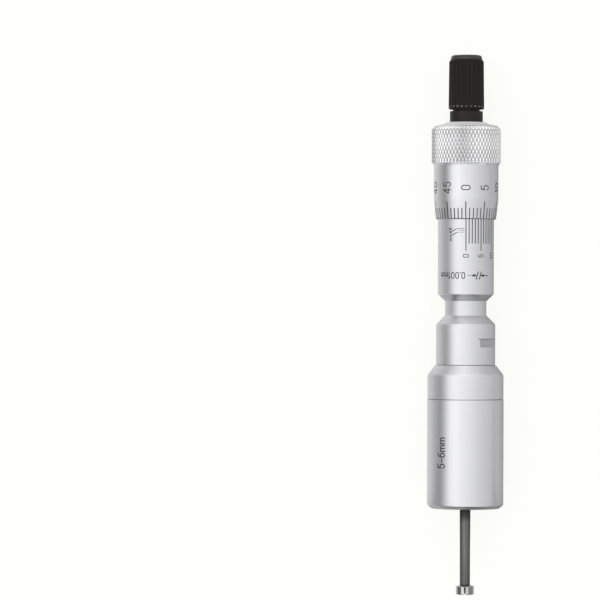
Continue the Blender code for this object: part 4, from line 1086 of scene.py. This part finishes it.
barrel()
barrel_cap()
main_tube()
graduated_sleeve()
thimble()
ratchet_base()
ratchet_knob()
stem()
contact_spring()
coil_spring(
    "return_spring",
    radius=2.4,
    wire_radius=0.3,
    low=37.1,
    high=52.8,
    turns=7.0,
    body="frame",
)
coil_spring(
    "ratchet_spring",
    radius=2.6,
    wire_radius=0.225,
    low=141.2,
    high=142.95,
    turns=2.5,
    body="ratchet_knob",
)
for side, way in (("left", -1), ("right", 1)):
    node = "contact_" + side
    reliefs = [way * HEAD_RELIEF_ANGLE, way * (180.0 - HEAD_RELIEF_ANGLE)]
    merged_copy(node, node + "_jaw", node, POLISHED_STEEL, 0.03, reliefs)
merged_copy("ratchet_screw", "ratchet_cap_screw", "thimble", DARK_STEEL, 0.05)
thimble_scale()
vernier_scale()
resolution_mark()
range_mark()

for node, material in {
    "needle": POLISHED_STEEL,
    "thrust_ball": POLISHED_STEEL,
    "guide_pin_front": INNER_STEEL,
    "guide_pin_back": INNER_STEEL,
    "key_pin": INNER_STEEL,
    "stem_holder": INNER_STEEL,
    "push_rod": INNER_STEEL,
    "spindle": INNER_STEEL,
    "adjusting_nut": INNER_STEEL,
    "ratchet_clutch": INNER_STEEL,
    "holder_screw_left": DARK_STEEL,
    "holder_screw_right": DARK_STEEL,
    "guide_bush": BRONZE,
}.items():
    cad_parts[node].material_slots[0].material = material


def pale_floor():
    """A pale table top that the camera sees evenly lit, so that it stays white round the object.

    The camera's rays meet a grey with a glow. All others, such as the chrome's reflections, meet painted light
    and shade that changes to the sides and towards the near end, in the place of the studio round the table:
    lighter just left of the instrument, a painted shadow just right of it, a darker stripe beside the stem
    near the barrel and darker floor beyond the tip.
    """
    reach = FLOOR_REACH
    points = [(-reach, -reach, 0.0), (reach, -reach, 0.0), (reach, reach, 0.0), (-reach, reach, 0.0)]
    mesh = bpy.data.meshes.new("floor")
    mesh.from_pydata(points, [], [(0, 1, 2, 3)])
    material = bpy.data.materials.new("pale_floor")
    material.use_nodes = True
    tree = material.node_tree
    shader = tree.nodes["Principled BSDF"]
    shader.inputs["Roughness"].default_value = 0.9
    shader.inputs["Specular IOR Level"].default_value = 0.0
    shader.inputs["Emission Color"].default_value = (1.0, 1.0, 0.965, 1.0)
    seen = tree.nodes.new("ShaderNodeLightPath").outputs["Is Camera Ray"]
    place = coordinates(tree, "Object")
    across = math_node(tree, "ADD", place["X"], 0.5)
    ahead = math_node(tree, "ADD", place["Y"], 0.5)
    # Painted light and shade on the floor, seen only in reflections
    to_sides = [
        (0.36, 0.48), (0.445, 0.55), (0.475, 0.78), (0.490, 0.95), (0.497, 0.95), (0.503, 0.47),
        (0.54, 0.60),
    ]
    near_end = [(0.400, 0.62), (0.43, 0.95), (0.4435, 0.75), (0.4475, 0.75), (0.45, 1.0)]
    bands = mixed(tree, "MULTIPLY", 1.0, graded(tree, across, to_sides), graded(tree, ahead, near_end))
    plug(tree, shader.inputs["Base Color"], mixed(tree, "MIX", seen, bands, (0.14, 0.14, 0.137, 1.0)))
    plug(tree, shader.inputs["Emission Strength"], math_node(tree, "MULTIPLY", seen, FLOOR_GLOW))
    mesh.materials.append(material)
    in_scene("floor", mesh)


def studio_light():
    """A soft dome whose level changes from left to right and along the instrument.

    The side angle is atan2(x, z) in degrees, 0 overhead: dark low on the left, brightest at the upper left,
    then falling slowly to the right. A low lamp adds a little direct light from the same side.
    """
    world = bpy.data.worlds.new("studio")
    bpy.context.scene.world = world
    world.use_nodes = True
    tree = world.node_tree
    back = tree.nodes["Background"]
    way = coordinates(tree, "Generated")
    side = math_node(tree, "ARCTAN2", way["X"], way["Z"])
    share = math_node(tree, "ADD", math_node(tree, "DIVIDE", side, FULL_TURN), 0.5)
    half_y = math_node(tree, "MULTIPLY_ADD", way["Y"], 0.5, 0.5)
    middle = [
        (-110, 0.45), (-92, 0.36), (-82, 0.36), (-72, 0.46), (-63, 0.72), (-54, 0.92), (-42, 1.05),
        (-20, 1.12), (0, 1.04), (20, 0.94), (42, 0.81), (66, 0.71), (95, 0.62), (120, 0.55),
    ]
    far_end = [
        (-110, 0.68), (-80, 0.72), (-50, 0.90), (-20, 1.06), (0, 1.02), (20, 0.92), (42, 0.80),
        (66, 0.70), (95, 0.62),
    ]
    domes = [
        graded(tree, share, [(degrees / 360 + 0.5, level) for degrees, level in levels])
        for levels in (middle, far_end)
    ]
    to_far_end = graded(tree, half_y, [(0.6, 0.0), (0.88, 1.0)])
    plug(tree, back.inputs["Color"], mixed(tree, "MIX", to_far_end, *domes))
    along = [
        (-1.0, 0.22), (-0.92, 0.34), (-0.82, 0.72), (-0.72, 1.25), (-0.6, 1.25), (-0.45, 0.93),
        (-0.3, 0.92), (0.0, 1.0), (0.4, 1.06), (0.8, 1.10), (0.94, 1.20), (1.0, 0.94),
    ]
    strength = graded(tree, half_y, [(y / 2 + 0.5, level) for y, level in along])
    plug(tree, back.inputs["Strength"], strength)
    softbox = bpy.data.lights.new("softbox", "AREA")
    softbox.shape = "RECTANGLE"
    softbox.size, softbox.size_y = 0.40, 0.60
    softbox.energy = 0.09
    lamp = in_scene("softbox", softbox)
    lamp.location = (-LAMP_LEFT, LAMP_AHEAD, LAMP_UP)
    lamp.rotation_euler = (0.0, -math.atan2(LAMP_LEFT, LAMP_UP), 0.0)


def camera():
    """Straight above the axis, as far off as the slight perspective shows, and turned a little to the left."""
    data = bpy.data.cameras.new("camera")
    data.sensor_width = SENSOR_WIDTH
    data.lens = SENSOR_WIDTH * CAMERA_DISTANCE / (IMAGE_SIZE / PIXELS_PER_METRE)
    data.clip_start, data.clip_end = 0.01, 10.0
    beside = (AXIS_PIXEL_X - IMAGE_SIZE / 2) / PIXELS_PER_METRE
    along = (TIP_PIXEL_Y - IMAGE_SIZE / 2) / PIXELS_PER_METRE - LENGTH / 2 - beside * CAMERA_ROLL
    obj = in_scene("camera", data)
    obj.location = (0.0, along, AXIS_Z + CAMERA_DISTANCE)
    obj.rotation_euler = (0.0, math.atan(beside / CAMERA_DISTANCE), CAMERA_ROLL)
    bpy.context.scene.camera = obj


pale_floor()
studio_light()
camera()
bpy.context.scene.view_settings.view_transform = "Standard"
